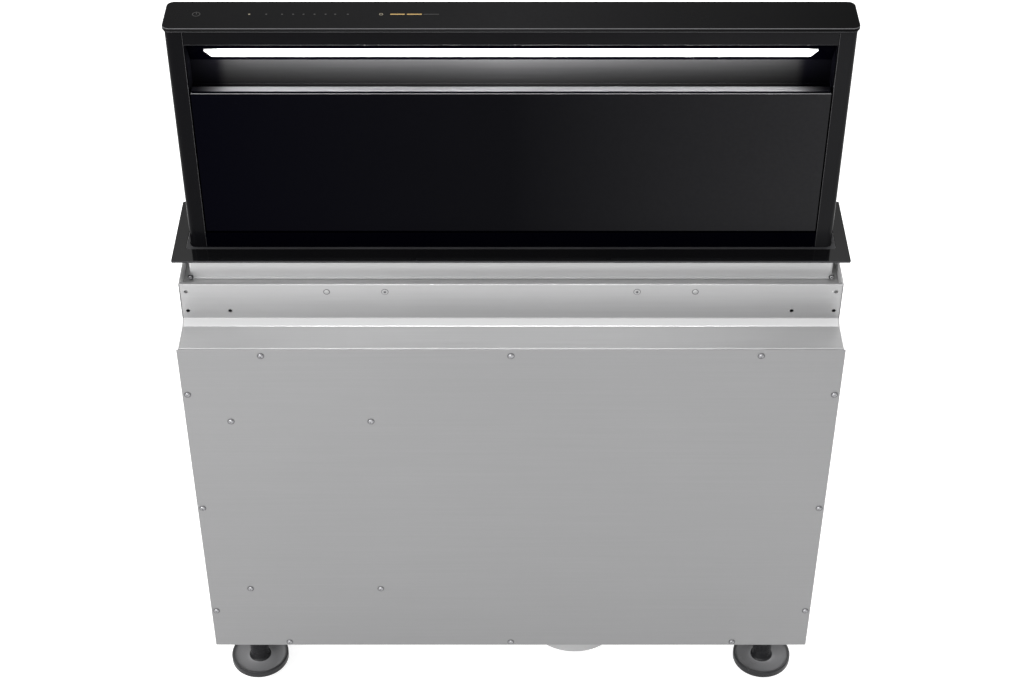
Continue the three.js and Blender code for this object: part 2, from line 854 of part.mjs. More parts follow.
// A filter cassette: a frame with two banks of upright slots.
function greaseFilter(x) {
  const w = filterWidth / 2;
  const y0 = framePlateY + sheet / 2 + filterProud - filterThick / 2;
  const y1 = y0 + filterThick;
  const outline = roundedRect(x - w, x + w, filterLowZ, filterHighZ, 4);
  const pitch = (filterWidth - 2 * filterBar + filterRib) / filterSlots;
  const banks = [
    [filterLowZ + filterBar, filterMidZ - filterRib / 2],
    [filterMidZ + filterRib / 2, filterHighZ - filterBar],
  ];
  const slots = banks.flatMap(([z0, z1]) =>
    Array.from({ length: filterSlots }, (_, i) => {
      const x0 = x - w + filterBar + i * pitch;
      return block(x0, x0 + pitch - filterRib, y0 - 1, y1 + 1, z0, z1);
    }),
  );
  return cut(prismY(outline, y0, y1, 2), slots);
}

// ---- Front panel ----

const glassX = postX - glassSideGap;

function glassPanel() {
  const y1 = chimneyFrontY + glassThick;
  return block(-glassX, glassX, chimneyFrontY, y1, glassLowZ, glassTopZ);
}

// The carrier holds the glass, and its top fold is the ledge under the suction slot.
function panelCarrier() {
  const front = carrierY;
  const half = glassX - 1;
  const low = glassLowZ + 2;
  const path = [
    [front, low],
    [front, panelLedgeZ - sheet / 2],
  ];
  const plate = prismX(bentSheet(path, -sheet), -half, half);
  const ledge = block(
    -half,
    half,
    chimneyFrontY + runGap,
    chimneyFrontY + ledgeDepth,
    panelLedgeZ - sheet,
    panelLedgeZ,
  );
  const lip = block(
    -half,
    half,
    chimneyFrontY + ledgeDepth - sheet,
    chimneyFrontY + ledgeDepth,
    panelLedgeZ - ledgeLip,
    panelLedgeZ,
  );
  const ear = join(
    prismX(circle(pivotY, pivotZ, earRadius), earX, earX + earThick, 8),
    block(earX, earX + earThick, front, pivotY, low, pivotZ + earRadius),
  );
  const bore = prismX(circle(pivotY, pivotZ, pivotPin + touchGap), earX - 1, earX + earThick + 1, 6);
  const drilled = cut(ear, bore);
  return join(plate, ledge, lip, drilled, mirrored(drilled));
}

// ---- Lift drive ----

const nutLowZ = carriageLowZ - nutDrop;
const spindleLowZ = nutLowZ - lift - spindleTail;
const bearingLowZ = carriageTopZ + bearingGap;
const bearingTopZ = shaftLowZ - touchGap;

function carriage() {
  const half = chimneyX - 1;
  const y0 = chimneyFrontY + 1;
  const y1 = chimneyBackY - 1;
  const outline = roundedRect(-half, half, y0, y1, postRadius - 1);
  outline.holes.push(
    roundedRect(
      -half + carriageRail,
      half - carriageRail,
      y0 + carriageRail,
      y1 - carriageRail,
      2,
    ),
  );
  const ring = prismZ(outline, carriageLowZ, carriageTopZ, 3);
  const armBack = spindleY + nutFlange + 1;
  const arm = cut(
    block(spindleX - armHalf, spindleX + armHalf, y1 - 2, armBack, carriageLowZ, carriageTopZ),
    prismZ(
      circle(spindleX, spindleY, nutRadius + touchGap),
      carriageLowZ - 1,
      carriageTopZ + 1,
      10,
    ),
  );
  const shoe = block(
    half - 2,
    innerX - railWall - shoeGap,
    midY - shoeHalf,
    midY + shoeHalf,
    carriageLowZ,
    carriageTopZ,
  );
  return join(ring, arm, mirrored(arm), shoe, mirrored(shoe));
}

function spindleNut() {
  const bore = spindleRadius + touchGap;
  const under = carriageLowZ - touchGap;
  const profile = [
    [bore, nutLowZ],
    [nutFlange, nutLowZ],
    [nutFlange, under],
    [nutRadius, under],
    [nutRadius, carriageTopZ],
    [bore, carriageTopZ],
    [bore, nutLowZ],
  ];
  return turned(profile, spindleX, spindleY, 20);
}

function spindle() {
  const top = bearingTopZ - 1;
  const shoulder = bearingLowZ - touchGap;
  const profile = [
    [0, spindleLowZ],
    [spindleRadius, spindleLowZ],
    [spindleRadius, shoulder],
    [journalRadius, shoulder],
    [journalRadius, top],
    [0, top],
  ];
  return turned(profile, spindleX, spindleY, 20);
}

function spindleBearing() {
  return cut(
    block(
      spindleX - bearingHalf,
      spindleX + bearingHalf,
      spindleY - bearingHalf,
      backPanelY - touchGap,
      bearingLowZ,
      bearingTopZ,
    ),
    prismZ(
      circle(spindleX, spindleY, journalRadius + touchGap),
      bearingLowZ - 1,
      bearingTopZ + 1,
      8,
    ),
  );
}

// A gear motor under each spindle, on a plate against the casing's back.
function spindleDrive() {
  const top = spindleLowZ - touchGap;
  const gearLow = top - gearboxLength;
  const gearbox = block(
    spindleX - gearboxHalf,
    spindleX + gearboxHalf,
    spindleY - gearboxHalf,
    spindleY + gearboxHalf,
    gearLow,
    top,
  );
  const motor = prismZ(
    circle(spindleX, spindleY, motorRadius),
    gearLow - motorLength,
    gearLow + 1,
    10,
  );
  const plate = block(
    spindleX - gearboxHalf - drivePlateReach,
    spindleX + gearboxHalf + drivePlateReach,
    spindleY + gearboxHalf - 1,
    backPanelY - touchGap,
    gearLow,
    top,
  );
  return join(gearbox, motor, plate);
}

function guideRail() {
  const inner = shoeHalf + touchGap;
  const x1 = innerX;
  const x0 = x1 - railReach;
  const outline = polygon([
    [x0, midY - inner - railWall],
    [x1, midY - inner - railWall],
    [x1, midY + inner + railWall],
    [x0, midY + inner + railWall],
    [x0, midY + inner],
    [x1 - railWall, midY + inner],
    [x1 - railWall, midY - inner],
    [x0, midY - inner],
  ]);
  return prismZ(outline, carriageLowZ - lift - railTail, shaftLowZ - touchGap);
}

// ---- Duct spigot with its two damper flaps ----

const damperZ = spigotTopZ - damperDrop;
const blowerHalf = impellerDepth / 2 + impellerRoom;
const tongueReach = voluteRadius(tongueAngle) * Math.cos(THREE.MathUtils.degToRad(tongueAngle));
const outletReach = voluteRadius(360);
const blowerX = ductX - (tongueReach + outletReach) / 2;
const mouthLeftX = blowerX + tongueReach;
const mouthRightX = blowerX + outletReach;

function ductSpigot() {
  const low = casingBottomZ - spigotDrop;
  const inner = spigotRadius - spigotWall;
  const flangeZ = casingBottomZ + sheet + touchGap;
  const flangeRadius = spigotRadius + flangeReach;
  const profile = [
    [inner, low],
    [spigotRadius - 0.5, low],
    [spigotRadius, low + 3],
    [spigotRadius, flangeZ],
    [flangeRadius, flangeZ],
    [flangeRadius, flangeZ + sheet],
    [spigotRadius, flangeZ + sheet],
    [spigotRadius, spigotTopZ],
    [inner, spigotTopZ],
    [inner, low],
  ];
  const barrel = turned(profile, ductX, ductY, 32);
  const reach = spigotRadius + 2;
  return cut(barrel, prismY(circle(ductX, damperZ, damperPin + touchGap), ductY - reach, ductY + reach, 8));
}

// A square plate on the spigot closes it round the blower's mouth and carries the blower.
function spigotPlate() {
  const half = spigotRadius;
  const mouthHalf = blowerHalf - voluteWall;
  const low = spigotTopZ + touchGap;
  return cut(
    block(ductX - half, ductX + half, ductY - half, ductY + half, low, voluteFlangeZ),
    block(mouthLeftX, mouthRightX, ductY - mouthHalf, ductY + mouthHalf, low - 1, voluteFlangeZ + 1),
  );
}

function damperAxle() {
  const half = spigotRadius + 1;
  return prismY(circle(ductX, damperZ, damperPin), ductY - half, ductY + half, 6);
}

// Each flap is a half disc; its knuckles take turns with the other flap's along the pin.
function damperFlap(side) {
  const radius = spigotRadius - spigotWall - flapGap;
  const half = flapThick / 2;
  const disc = prismZ(circle(ductX, ductY, radius), damperZ - half, damperZ + half, 16);
  const otherSide = block(
    side > 0 ? ductX - radius - 1 : ductX - flapSeam,
    side > 0 ? ductX + flapSeam : ductX + radius + 1,
    ductY - radius - 1,
    ductY + radius + 1,
    damperZ - flapThick,
    damperZ + flapThick,
  );
  const rod = (r, y0, y1) => prismY(circle(ductX, damperZ, r), y0, y1, 6);
  const reach = radius - knuckleInset;
  const span = (2 * reach) / knuckleCount;
  const own = [];
  const other = [];
  for (let i = 0; i < knuckleCount; i += 1) {
    const y0 = ductY - reach + i * span;
    if (i % 2 === (side > 0 ? 0 : 1)) own.push(rod(knuckleRadius, y0 + runGap, y0 + span - runGap));
    else other.push(rod(knuckleRadius + runGap, y0, y0 + span));
  }
  const relief = rod(knuckleRadius - knuckleRelief, ductY - radius - 1, ductY + radius + 1);
  const bore = rod(damperPin + touchGap, ductY - radius - 1, ductY + radius + 1);
  return cut(join(cut(disc, otherSide, relief), own), other, bore);
}

// ---- Blower: a volute in two half shells round a double-inlet fan wheel ----

// The spiral starts at the tongue and grows clockwise, seen from the front, to the outlet.
function volutePath(extra) {
  const steps = 24;
  const sweep = 360 - tongueAngle;
  return Array.from({ length: steps + 1 }, (_, i) => {
    const degrees = tongueAngle + (sweep * i) / steps;
    const angle = -THREE.MathUtils.degToRad(degrees);
    const r = voluteRadius(degrees) + extra;
    return [blowerX + r * Math.cos(angle), blowerZ + r * Math.sin(angle)];
  });
}

const mouthZ = voluteFlangeZ + touchGap;

function voluteHalf(side) {
  const outerPath = volutePath(voluteWall);
  const innerPath = volutePath(0);
  const wallOutline = polygon([
    ...innerPath,
    [mouthRightX, mouthZ],
    [mouthRightX + voluteWall, mouthZ],
    ...outerPath.reverse(),
  ]);
  const plateOutline = polygon([
    ...outerPath,
    [mouthLeftX - voluteWall, mouthZ],
    [mouthRightX + voluteWall, mouthZ],
  ]);
  plateOutline.holes.push(circle(blowerX, blowerZ, impellerRadius - inletLap));
  const outside = ductY + side * blowerHalf;
  const seam = ductY + (side * touchGap) / 2;
  const [y0, y1] = side > 0 ? [seam, outside] : [outside, seam];
  const inside = outside - side * voluteWall;
  const tongueZ = innerPath[0][1];
  return join(
    prismY(wallOutline, y0, y1),
    prismY(plateOutline, Math.min(outside, inside), Math.max(outside, inside), 16),
    block(mouthLeftX - voluteWall, mouthLeftX, y0, y1, mouthZ, tongueZ),
  );
}

// Forward-curved blades between two end rings and a middle disc.
function impeller() {
  const outer = impellerRadius;
  const inner = outer - bladeDepth;
  const y0 = ductY - impellerDepth / 2;
  const y1 = ductY + impellerDepth / 2;
  const stations = [0, 0.5, 1];
  const face = (i, offset) =>
    stations.map((t) => {
      const r = inner + 0.4 + (bladeDepth - 0.8) * t;
      const angle = (2 * Math.PI * i) / bladeCount - bladeLean * t * t + offset / r;
      return [blowerX + r * Math.cos(angle), blowerZ + r * Math.sin(angle)];
    });
  const blades = Array.from({ length: bladeCount }, (_, i) =>
    prismY(polygon([...face(i, 0), ...face(i, bladeThick).reverse()]), y0 + 0.5, y1 - 0.5),
  );
  const ring = circle(blowerX, blowerZ, outer);
  ring.holes.push(circle(blowerX, blowerZ, inner));
  const half = impellerRing / 2;
  const disc = prismY(circle(blowerX, blowerZ, outer), ductY - half, ductY + half, 12);
  const hub = prismY(circle(blowerX, blowerZ, 3 * fanShaft), ductY - half - hubFront, ductY + hubBack, 10);
  const bore = circle(blowerX, blowerZ, fanShaft + touchGap);
  return cut(
    join(
      disc,
      hub,
      prismY(ring, y0, y0 + impellerRing, 12),
      prismY(ring, y1 - impellerRing, y1, 12),
      blades,
    ),
    prismY(bore, ductY - hubBack, ductY + 2 * hubBack, 8),
  );
}

const motorFrontY = ductY - blowerHalf + 2 * voluteWall;
const motorBackY = ductY - impellerRing / 2 - hubFront - fanMotorRoom;
const fanMotorRadius = impellerRadius - bladeDepth - fanMotorGap;

function fanMotor() {
  const body = prismY(circle(blowerX, blowerZ, fanMotorRadius), motorFrontY, motorBackY, 16);
  const bore = circle(blowerX, blowerZ, fanShaft + touchGap);
  return cut(body, prismY(bore, motorBackY - shaftDepth, motorBackY + 1, 8));
}

function fanAxle() {
  const y0 = motorBackY - shaftDepth + touchGap;
  return prismY(circle(blowerX, blowerZ, fanShaft), y0, ductY + hubBack + 2, 8);
}

// Three arms across the front inlet carry the fan motor.
function motorBracket() {
  const y1 = ductY - blowerHalf - touchGap;
  const y0 = y1 - voluteWall;
  const reach = impellerRadius - inletLap + bracketLap;
  const arms = [0, 1, 2].map((i) => {
    const arm = new THREE.BoxGeometry(reach, y1 - y0, bracketArm);
    arm.translate(reach / 2, (y0 + y1) / 2, 0);
    arm.rotateY((i * 2 * Math.PI) / 3 + Math.PI / 2);
    return solidOf(arm.translate(blowerX, 0, blowerZ));
  });
  const boss = prismY(circle(blowerX, blowerZ, fanMotorRadius / 2), y0, motorFrontY - touchGap, 12);
  return join(boss, arms);
}

// ---- Electronics and mains inlet ----

const boxLeft = boxScrewX[0] - boxFlange / 2;
const boxRight = boxScrewX[1] + boxFlange / 2;
const boxTopZ = coverTopZ - boxScrewDrops[0] + boxFlange / 2;
const boxLowZ = coverTopZ - boxScrewDrops[1] - boxFlange / 2;
const boxBackY = casingFrontY + boxDepth;

function electronicsBox() {
  const tray = block(
    boxLeft + boxFlange,
    boxRight - boxFlange,
    casingFrontY,
    boxBackY,
    boxLowZ + boxFlange,
    boxTopZ - boxFlange,
  );
  const flange = block(boxLeft, boxRight, casingFrontY, casingFrontY + sheet, boxLowZ, boxTopZ);
  const room = block(
    boxLeft + boxFlange + sheet,
    boxRight - boxFlange - sheet,
    casingFrontY - 1,
    boxBackY - sheet,
    boxLowZ + boxFlange + sheet,
    boxTopZ - boxFlange - sheet,
  );
  const inset = boxFlange + boardMargin;
  const stands = [boxLeft + inset, boxRight - inset].flatMap((x) =>
    [boxLowZ + inset, boxTopZ - inset].map((z) =>
      prismY(circle(x, z, boardStandRadius), boxBackY - sheet - boardStand, boxBackY - sheet / 2, 4),
    ),
  );
  return join(cut(join(tray, flange), room), stands);
}

function controlBoard() {
  const inset = boxFlange + boardMargin / 2;
  const y1 = boxBackY - sheet - boardStand - touchGap;
  const board = block(
    boxLeft + inset,
    boxRight - inset,
    y1 - boardThick,
    y1,
    boxLowZ + inset,
    boxTopZ - inset,
  );
  const front = y1 - boardThick;
  const root = front + boardThick / 2;
  const midX = (boxLeft + boxRight) / 2;
  const transformerLow = boxLowZ + transformerRise;
  const transformer = block(
    midX - transformerSide / 2,
    midX + transformerSide / 2,
    front - transformerDepth,
    root,
    transformerLow,
    transformerLow + transformerSide,
  );
  const terminalTop = boxTopZ - terminalDrop;
  const terminals = block(
    midX - terminalWidth / 2,
    midX + terminalWidth / 2,
    front - terminalDepth,
    root,
    terminalTop - terminalHeight,
    terminalTop,
  );
  return join(board, transformer, terminals);
}

function cableGland() {
  const low = casingBottomZ - glandLength;
  const under = casingBottomZ - touchGap;
  const over = casingBottomZ + sheet + touchGap;
  const profile = [
    [glandBore, low],
    [glandRadius - 1.5, low],
    [glandRadius, low + 3],
    [glandRadius, under],
    [glandNeck, under],
    [glandNeck, over],
    [glandRadius, over],
    [glandRadius, over + glandCollar],
    [glandBore, over + glandCollar],
    [glandBore, low],
  ];
  return turned(profile, glandX, glandY, 16);
}

// ---- The assembly ----

addPiece("worktop_frame", worktopFrame(), blackSteel);
addPiece("opening_seal", openingSeal(), rubber);
addPiece("collar_sleeve", collarSleeve(), steel);
addPiece("guide_shaft", guideShaft(), steel);
addPiece("upper_front_panel", upperFrontPanel(), steel);
addPair("side_panel", sidePanel(), steel);
addPiece("back_panel", backPanel(), steel);
addPiece("bottom_panel", bottomPanel(), steel);
addPiece("front_cover", frontCover(), steel);

const footX = casingX - footSideInset;
const footFrontY = coverFrontY + footFrontInset;
const footBackY = casingBackY - footBackInset;
const footPlaces = [
  ["front_left", -footX, footFrontY],
  ["front_right", footX, footFrontY],
  ["back_left", -footX, footBackY],
  ["back_right", footX, footBackY],
];
for (const [place, x, y] of footPlaces) {
  addPiece("foot_socket_" + place, footSocket(x, y), darkPlastic);
  addPiece("foot_" + place, footBase(x, y), darkPlastic);
}

addPair("side_post", sidePost(), blackSteel);
addPiece("cap_tray", capTray(), blackSteel);
addPiece("cap_plate", capPlate(), blackGlass);
addPiece("fascia", fascia(), blackSteel);
addPiece("slot_lining", slotLining(), blackSteel);
addPiece("lamp_housing", lampHousing(), darkPlastic);
addPiece("lamp_diffuser", diffuserBar(0, diffuserThick), paleLight);
addPiece("chimney_back", chimneyBack(), blackSteel);
addPiece("lower_front", lowerFront(), blackSteel);
addPiece("filter_frame", filterFrame(), blackSteel);
filterMiddles.forEach((x, i) => addPiece("grease_filter_" + (i + 1), greaseFilter(x), aluminium));
addPiece("glass_panel", glassPanel(), blackGlass);
addPiece("panel_carrier", panelCarrier(), blackSteel);

addPiece("carriage", carriage(), steel);
addPair("spindle_nut", spindleNut(), darkPlastic);
addPair("spindle", spindle(), brightSteel);
addPair("spindle_bearing", spindleBearing(), steel);
addPair("spindle_drive", spindleDrive(), motorGrey);
addPair("guide_rail", guideRail(), steel);

addPiece("duct_spigot", ductSpigot(), steel);
addPiece("spigot_plate", spigotPlate(), steel);
addPiece("damper_pin", damperAxle(), brightSteel);
addPiece("damper_flap_right", damperFlap(1), darkPlastic);
addPiece("damper_flap_left", damperFlap(-1), darkPlastic);

addPiece("volute_front", voluteHalf(-1), steel);
addPiece("volute_back", voluteHalf(1), steel);
addPiece("impeller", impeller(), darkPlastic);
addPiece("fan_shaft", fanAxle(), brightSteel);
addPiece("fan_motor", fanMotor(), motorGrey);
addPiece("motor_bracket", motorBracket(), steel);

addPiece("electronics_box", electronicsBox(), steel);
addPiece("control_board", controlBoard(), boardGreen);
addPiece("cable_gland", cableGland(), darkPlastic);

export default vent;
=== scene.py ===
# Looks for the packed downdraft vent: finer pieces, finishes, studio and camera.
# The pieces' lengths are in millimetres, in the frame's own axes, and become metres in the
# meshes. The camera and the studio are in metres.
import json
import math

import bmesh
import bpy
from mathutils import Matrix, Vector

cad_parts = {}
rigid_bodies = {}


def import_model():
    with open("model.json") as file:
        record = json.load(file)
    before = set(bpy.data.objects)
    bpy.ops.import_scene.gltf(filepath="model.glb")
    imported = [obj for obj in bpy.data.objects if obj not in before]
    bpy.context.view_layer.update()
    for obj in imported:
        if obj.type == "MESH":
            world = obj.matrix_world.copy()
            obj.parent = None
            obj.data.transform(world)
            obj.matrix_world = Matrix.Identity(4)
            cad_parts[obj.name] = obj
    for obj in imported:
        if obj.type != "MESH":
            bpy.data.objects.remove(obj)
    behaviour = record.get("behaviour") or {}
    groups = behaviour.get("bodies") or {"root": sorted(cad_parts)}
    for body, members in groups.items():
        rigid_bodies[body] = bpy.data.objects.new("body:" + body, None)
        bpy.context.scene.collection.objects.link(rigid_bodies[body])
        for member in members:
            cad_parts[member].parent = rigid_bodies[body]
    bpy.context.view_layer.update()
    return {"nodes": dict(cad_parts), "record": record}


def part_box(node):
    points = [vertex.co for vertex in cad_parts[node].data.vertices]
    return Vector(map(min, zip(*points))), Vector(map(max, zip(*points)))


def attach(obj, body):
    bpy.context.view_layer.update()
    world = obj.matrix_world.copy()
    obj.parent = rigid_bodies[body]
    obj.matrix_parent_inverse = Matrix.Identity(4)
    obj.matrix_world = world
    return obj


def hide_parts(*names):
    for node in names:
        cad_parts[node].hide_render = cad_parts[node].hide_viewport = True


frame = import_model()
mm = 0.001
sheet = 1.2  # what the casing, the fascia and the spigot's flange are made of
weldGap = 0.00001  # metres; points nearer than this become one
sliverWidth = 0.000002  # metres; thinner faces are taken away
origin = (0, 0, 0)


# Small tools for shader nodes and lights

def triple(value):
    # a lone number stands for three equal ones, and the first of a pair counts twice
    if not isinstance(value, tuple):
        value = (value, value)
    return (value[0], *value) if len(value) == 2 else value


def setInputs(tree, node, inputs):
    # an input gets its value, or a link where the value is another node's output
    for key, value in inputs.items():
        if isinstance(value, bpy.types.NodeSocket):
            tree.links.new(value, node.inputs[key])
        else:
            node.inputs[key].default_value = value


def addNode(tree, kind, inputs, output=0):
    node = tree.nodes.new("ShaderNode" + kind)
    setInputs(tree, node, inputs)
    return node.outputs[output]


def addRamp(tree, value, stops):
    # a colour ramp; its stops are places and tints in rising order
    node = tree.nodes.new("ShaderNodeValToRGB")
    points = node.color_ramp.elements
    for place, tint in stops[1:-1]:
        points.new(place)
    for point, (place, tint) in zip(points, stops):
        point.position = place
        point.color = (*triple(tint), 1)
    tree.links.new(value, node.inputs[0])
    return node.outputs[0]


def startMaterial(name):
    material = bpy.data.materials.new(name)
    material.use_nodes = True
    return material, material.node_tree, material.node_tree.nodes["Principled BSDF"]


def addLight(name, place, way, width, height, watts):
    # a soft rectangle that shines the given way and that the camera doesn't see
    data = bpy.data.lights.new(name, "AREA")
    data.shape = "RECTANGLE"
    data.size = width
    data.size_y = height
    data.energy = watts
    light = bpy.data.objects.new(name, data)
    light.location = place
    light.rotation_euler = Vector(way).to_track_quat("-Z", "Y").to_euler()
    light.visible_camera = False
    bpy.context.scene.collection.objects.link(light)
    return light


print("stage: camera, light and floor")

camera = {
    "place": (-0.0013, -2.2215, 2.4788),
    "pitch": 50.0,  # degrees up from straight down
    "lens": 72.6, "sensor": 36, "farClip": 100,
}
cameraData = bpy.data.cameras.new("photoCamera")
cameraData.lens = camera["lens"]
cameraData.sensor_width = camera["sensor"]
cameraData.clip_end = camera["farClip"]
cameraObject = bpy.data.objects.new("photoCamera", cameraData)
cameraObject.location = camera["place"]
cameraObject.rotation_euler = (math.radians(camera["pitch"]), 0, 0)
bpy.context.scene.collection.objects.link(cameraObject)
bpy.context.scene.camera = cameraObject

studio = {
    "viewTransform": "Standard",
    "skyLow": 0.60,  # world brightness near the horizon
    "skyHigh": 2.7,  # and overhead
    "skyTurn": 0.58,  # the height, as a share, from where it grows
    "skyShown": 1.0,  # behind the object, for the camera
    "floorColour": (0.62, 0.62, 0.62),
    "floorRoughness": 0.9,
    "floorSpecular": 0.1,
    "floorGlow": 0.36,
    "floorShown": 0.75,  # the floor's glow as the camera sees it
    "floorSize": 40,
    "floorDrop": 0.0255,  # the feet screw down to here
    "softboxes": [
        # place, aim, width, height, watts
        ((-2.2, -2.2, 2.3), (0, 0, 0.7), 1.6, 1.4, 60),
        ((-0.4, -3.4, 1.0), (0, 0, 0.75), 2.6, 1.0, 34),
    ],
}
scene = bpy.context.scene
scene.view_settings.view_transform = studio["viewTransform"]
scene.view_settings.look = "None"

world = bpy.data.worlds.new("studioSky")
scene.world = world
world.use_nodes = True
sky = world.node_tree
skyHeight = addNode(sky, "SeparateXYZ", {0: addNode(sky, "TexCoord", {}, "Generated")}, "Z")
skyLight = addNode(sky, "MapRange", {
    "Value": skyHeight, "From Min": studio["skyTurn"], "From Max": 1.0,
    "To Min": studio["skyLow"], "To Max": studio["skyHigh"]})
skySeen = addNode(sky, "LightPath", {}, "Is Camera Ray")
skyStrength = addNode(sky, "Mix", {"Factor": skySeen, "A": skyLight, "B": studio["skyShown"]})
setInputs(sky, sky.nodes["Background"], {"Color": (1, 1, 1, 1), "Strength": skyStrength})

for number, (place, aim, width, height, watts) in enumerate(studio["softboxes"]):
    addLight("softbox" + str(number), place, Vector(aim) - Vector(place), width, height, watts)


# Small tools for modelling in edit mode

def endEdit():
    bpy.ops.object.mode_set(mode="OBJECT")


def deselectAll():
    if bpy.context.object and bpy.context.object.mode != "OBJECT":
        endEdit()
    bpy.ops.object.select_all(action="DESELECT")


def activate(piece):
    deselectAll()
    piece.select_set(True)
    bpy.context.view_layer.objects.active = piece


def settle(piece):
    # the object goes back to the origin and its place stays in the mesh
    activate(piece)
    bpy.ops.object.transform_apply(location=True, rotation=True, scale=True)


def boxOf(node):
    low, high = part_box(node)
    return low / mm, high / mm


def middleOf(node):
    low, high = boxOf(node)
    return (low + high) / 2


def nameOf(node):
    # the piece's name for a node's name
    first, *others = node.split("_")
    return first + "".join(word.title() for word in others)


def addBox(name, low, high):
    deselectAll()
    middle = [(a + b) / 2 * mm for a, b in zip(low, high)]
    bpy.ops.mesh.primitive_cube_add(size=1, location=middle)
    piece = bpy.context.object
    piece.name = name
    piece.scale = [(b - a) * mm for a, b in zip(low, high)]
    settle(piece)
    return piece


def editAll(piece):
    # leaves the piece in edit mode with everything selected
    activate(piece)
    bpy.ops.object.mode_set(mode="EDIT")
    bpy.ops.mesh.select_all(action="SELECT")


def pick(piece, kind, test):
    # leaves the piece in edit mode with what passes the test selected
    activate(piece)
    bpy.ops.object.mode_set(mode="EDIT")
    bpy.ops.mesh.select_mode(type=kind)
    bpy.ops.mesh.select_all(action="DESELECT")
    mesh = bmesh.from_edit_mesh(piece.data)
    if kind == "FACE":
        for face in mesh.faces:
            face.select_set(test(face.calc_center_median() / mm, face.normal))
    elif kind == "EDGE":
        for edge in mesh.edges:
            a, b = (vertex.co / mm for vertex in edge.verts)
            edge.select_set(test((a + b) / 2, (b - a).normalized()))
    else:
        for vertex in mesh.verts:
            vertex.select_set(test(vertex.co / mm))
    mesh.select_flush_mode()
    bmesh.update_edit_mesh(piece.data)


def dropFaces(piece, test):
    pick(piece, "FACE", test)
    bpy.ops.mesh.delete(type="FACE")
    endEdit()


def shiftPoints(piece, test, move):
    pick(piece, "VERT", test)
    bpy.ops.transform.translate(value=[part * mm for part in move])
    endEdit()


def useModifier(piece, kind, **settings):
    activate(piece)
    bpy.ops.object.modifier_add(type=kind)
    modifier = piece.modifiers[-1]
    for key, value in settings.items():
        setattr(modifier, key, value)
    bpy.ops.object.modifier_apply(modifier=modifier.name)


def smooth(piece, angle=35):
    activate(piece)
    bpy.ops.object.shade_smooth_by_angle(angle=math.radians(angle))
    useModifier(piece, "WEIGHTED_NORMAL", keep_sharp=True, weight=80)


def softenEdges(piece, width, segments=2, limit=40):
    useModifier(piece, "BEVEL", width=width * mm, segments=segments, limit_method="ANGLE",
                angle_limit=math.radians(limit), use_clamp_overlap=True)
    smooth(piece)


def roundCorners(piece, axis, radius, segments=8, test=lambda middle: True):
    # rounds the edges that run along one axis
    pick(piece, "EDGE", lambda middle, way: abs(way[axis]) > 0.99 and test(middle))
    bpy.ops.mesh.bevel(offset=radius * mm, segments=segments, affect="EDGES")
    endEdit()


def addPlate(name, low, high, axis, radius, corners, edge, segments=2, limit=40):
    # a box with round corners along one axis and softened edges
    plate = addBox(name, low, high)
    roundCorners(plate, axis, radius, corners)
    softenEdges(plate, edge, segments, limit)
    return plate


def tidyMesh(piece, recalculate=True):
    editAll(piece)
    bpy.ops.mesh.remove_doubles(threshold=weldGap)
    if recalculate:
        bpy.ops.mesh.normals_make_consistent(inside=False)
    endEdit()


def mendMesh(piece):
    # slivers and pinholes that a cut or a bevel leaves behind
    editAll(piece)
    bpy.ops.mesh.dissolve_degenerate(threshold=sliverWidth)
    bpy.ops.mesh.select_all(action="SELECT")
    bpy.ops.mesh.fill_holes(sides=8)
    endEdit()


turns = {
    "up": (0, 0, 0),
    "front": (math.pi / 2, 0, 0),
    "back": (-math.pi / 2, 0, 0),
}


def turnProfile(name, middle, way, profile, sides=48, ring=False, angle=None):
    # a circle is extruded and scaled along (radius, height) points, then stood up the given way,
    # and smoothed where an angle is given
    deselectAll()
    radius, height = profile[0]
    bpy.ops.mesh.primitive_circle_add(
        vertices=sides, radius=radius * mm, location=origin,
        fill_type="NOTHING" if ring else "NGON",
    )
    piece = bpy.context.object
    piece.name = name
    bpy.ops.object.mode_set(mode="EDIT")
    bpy.ops.mesh.select_mode(type="EDGE")
    bpy.ops.mesh.select_all(action="SELECT")
    bpy.ops.transform.translate(value=(0, 0, height * mm))
    for nextRadius, nextHeight in profile[1:]:
        bpy.ops.mesh.extrude_region_move(
            TRANSFORM_OT_translate={"value": (0, 0, (nextHeight - height) * mm)})
        scale = max(nextRadius, 0.001) / radius
        bpy.ops.transform.resize(value=(scale, scale, 1), center_override=origin)
        radius, height = max(nextRadius, 0.001), nextHeight
    if not ring:
        bpy.ops.mesh.edge_face_add()
    endEdit()
    piece.rotation_euler = turns[way]
    piece.location = Vector(middle) * mm
    settle(piece)
    tidyMesh(piece)
    if angle:
        smooth(piece, angle)
    return piece


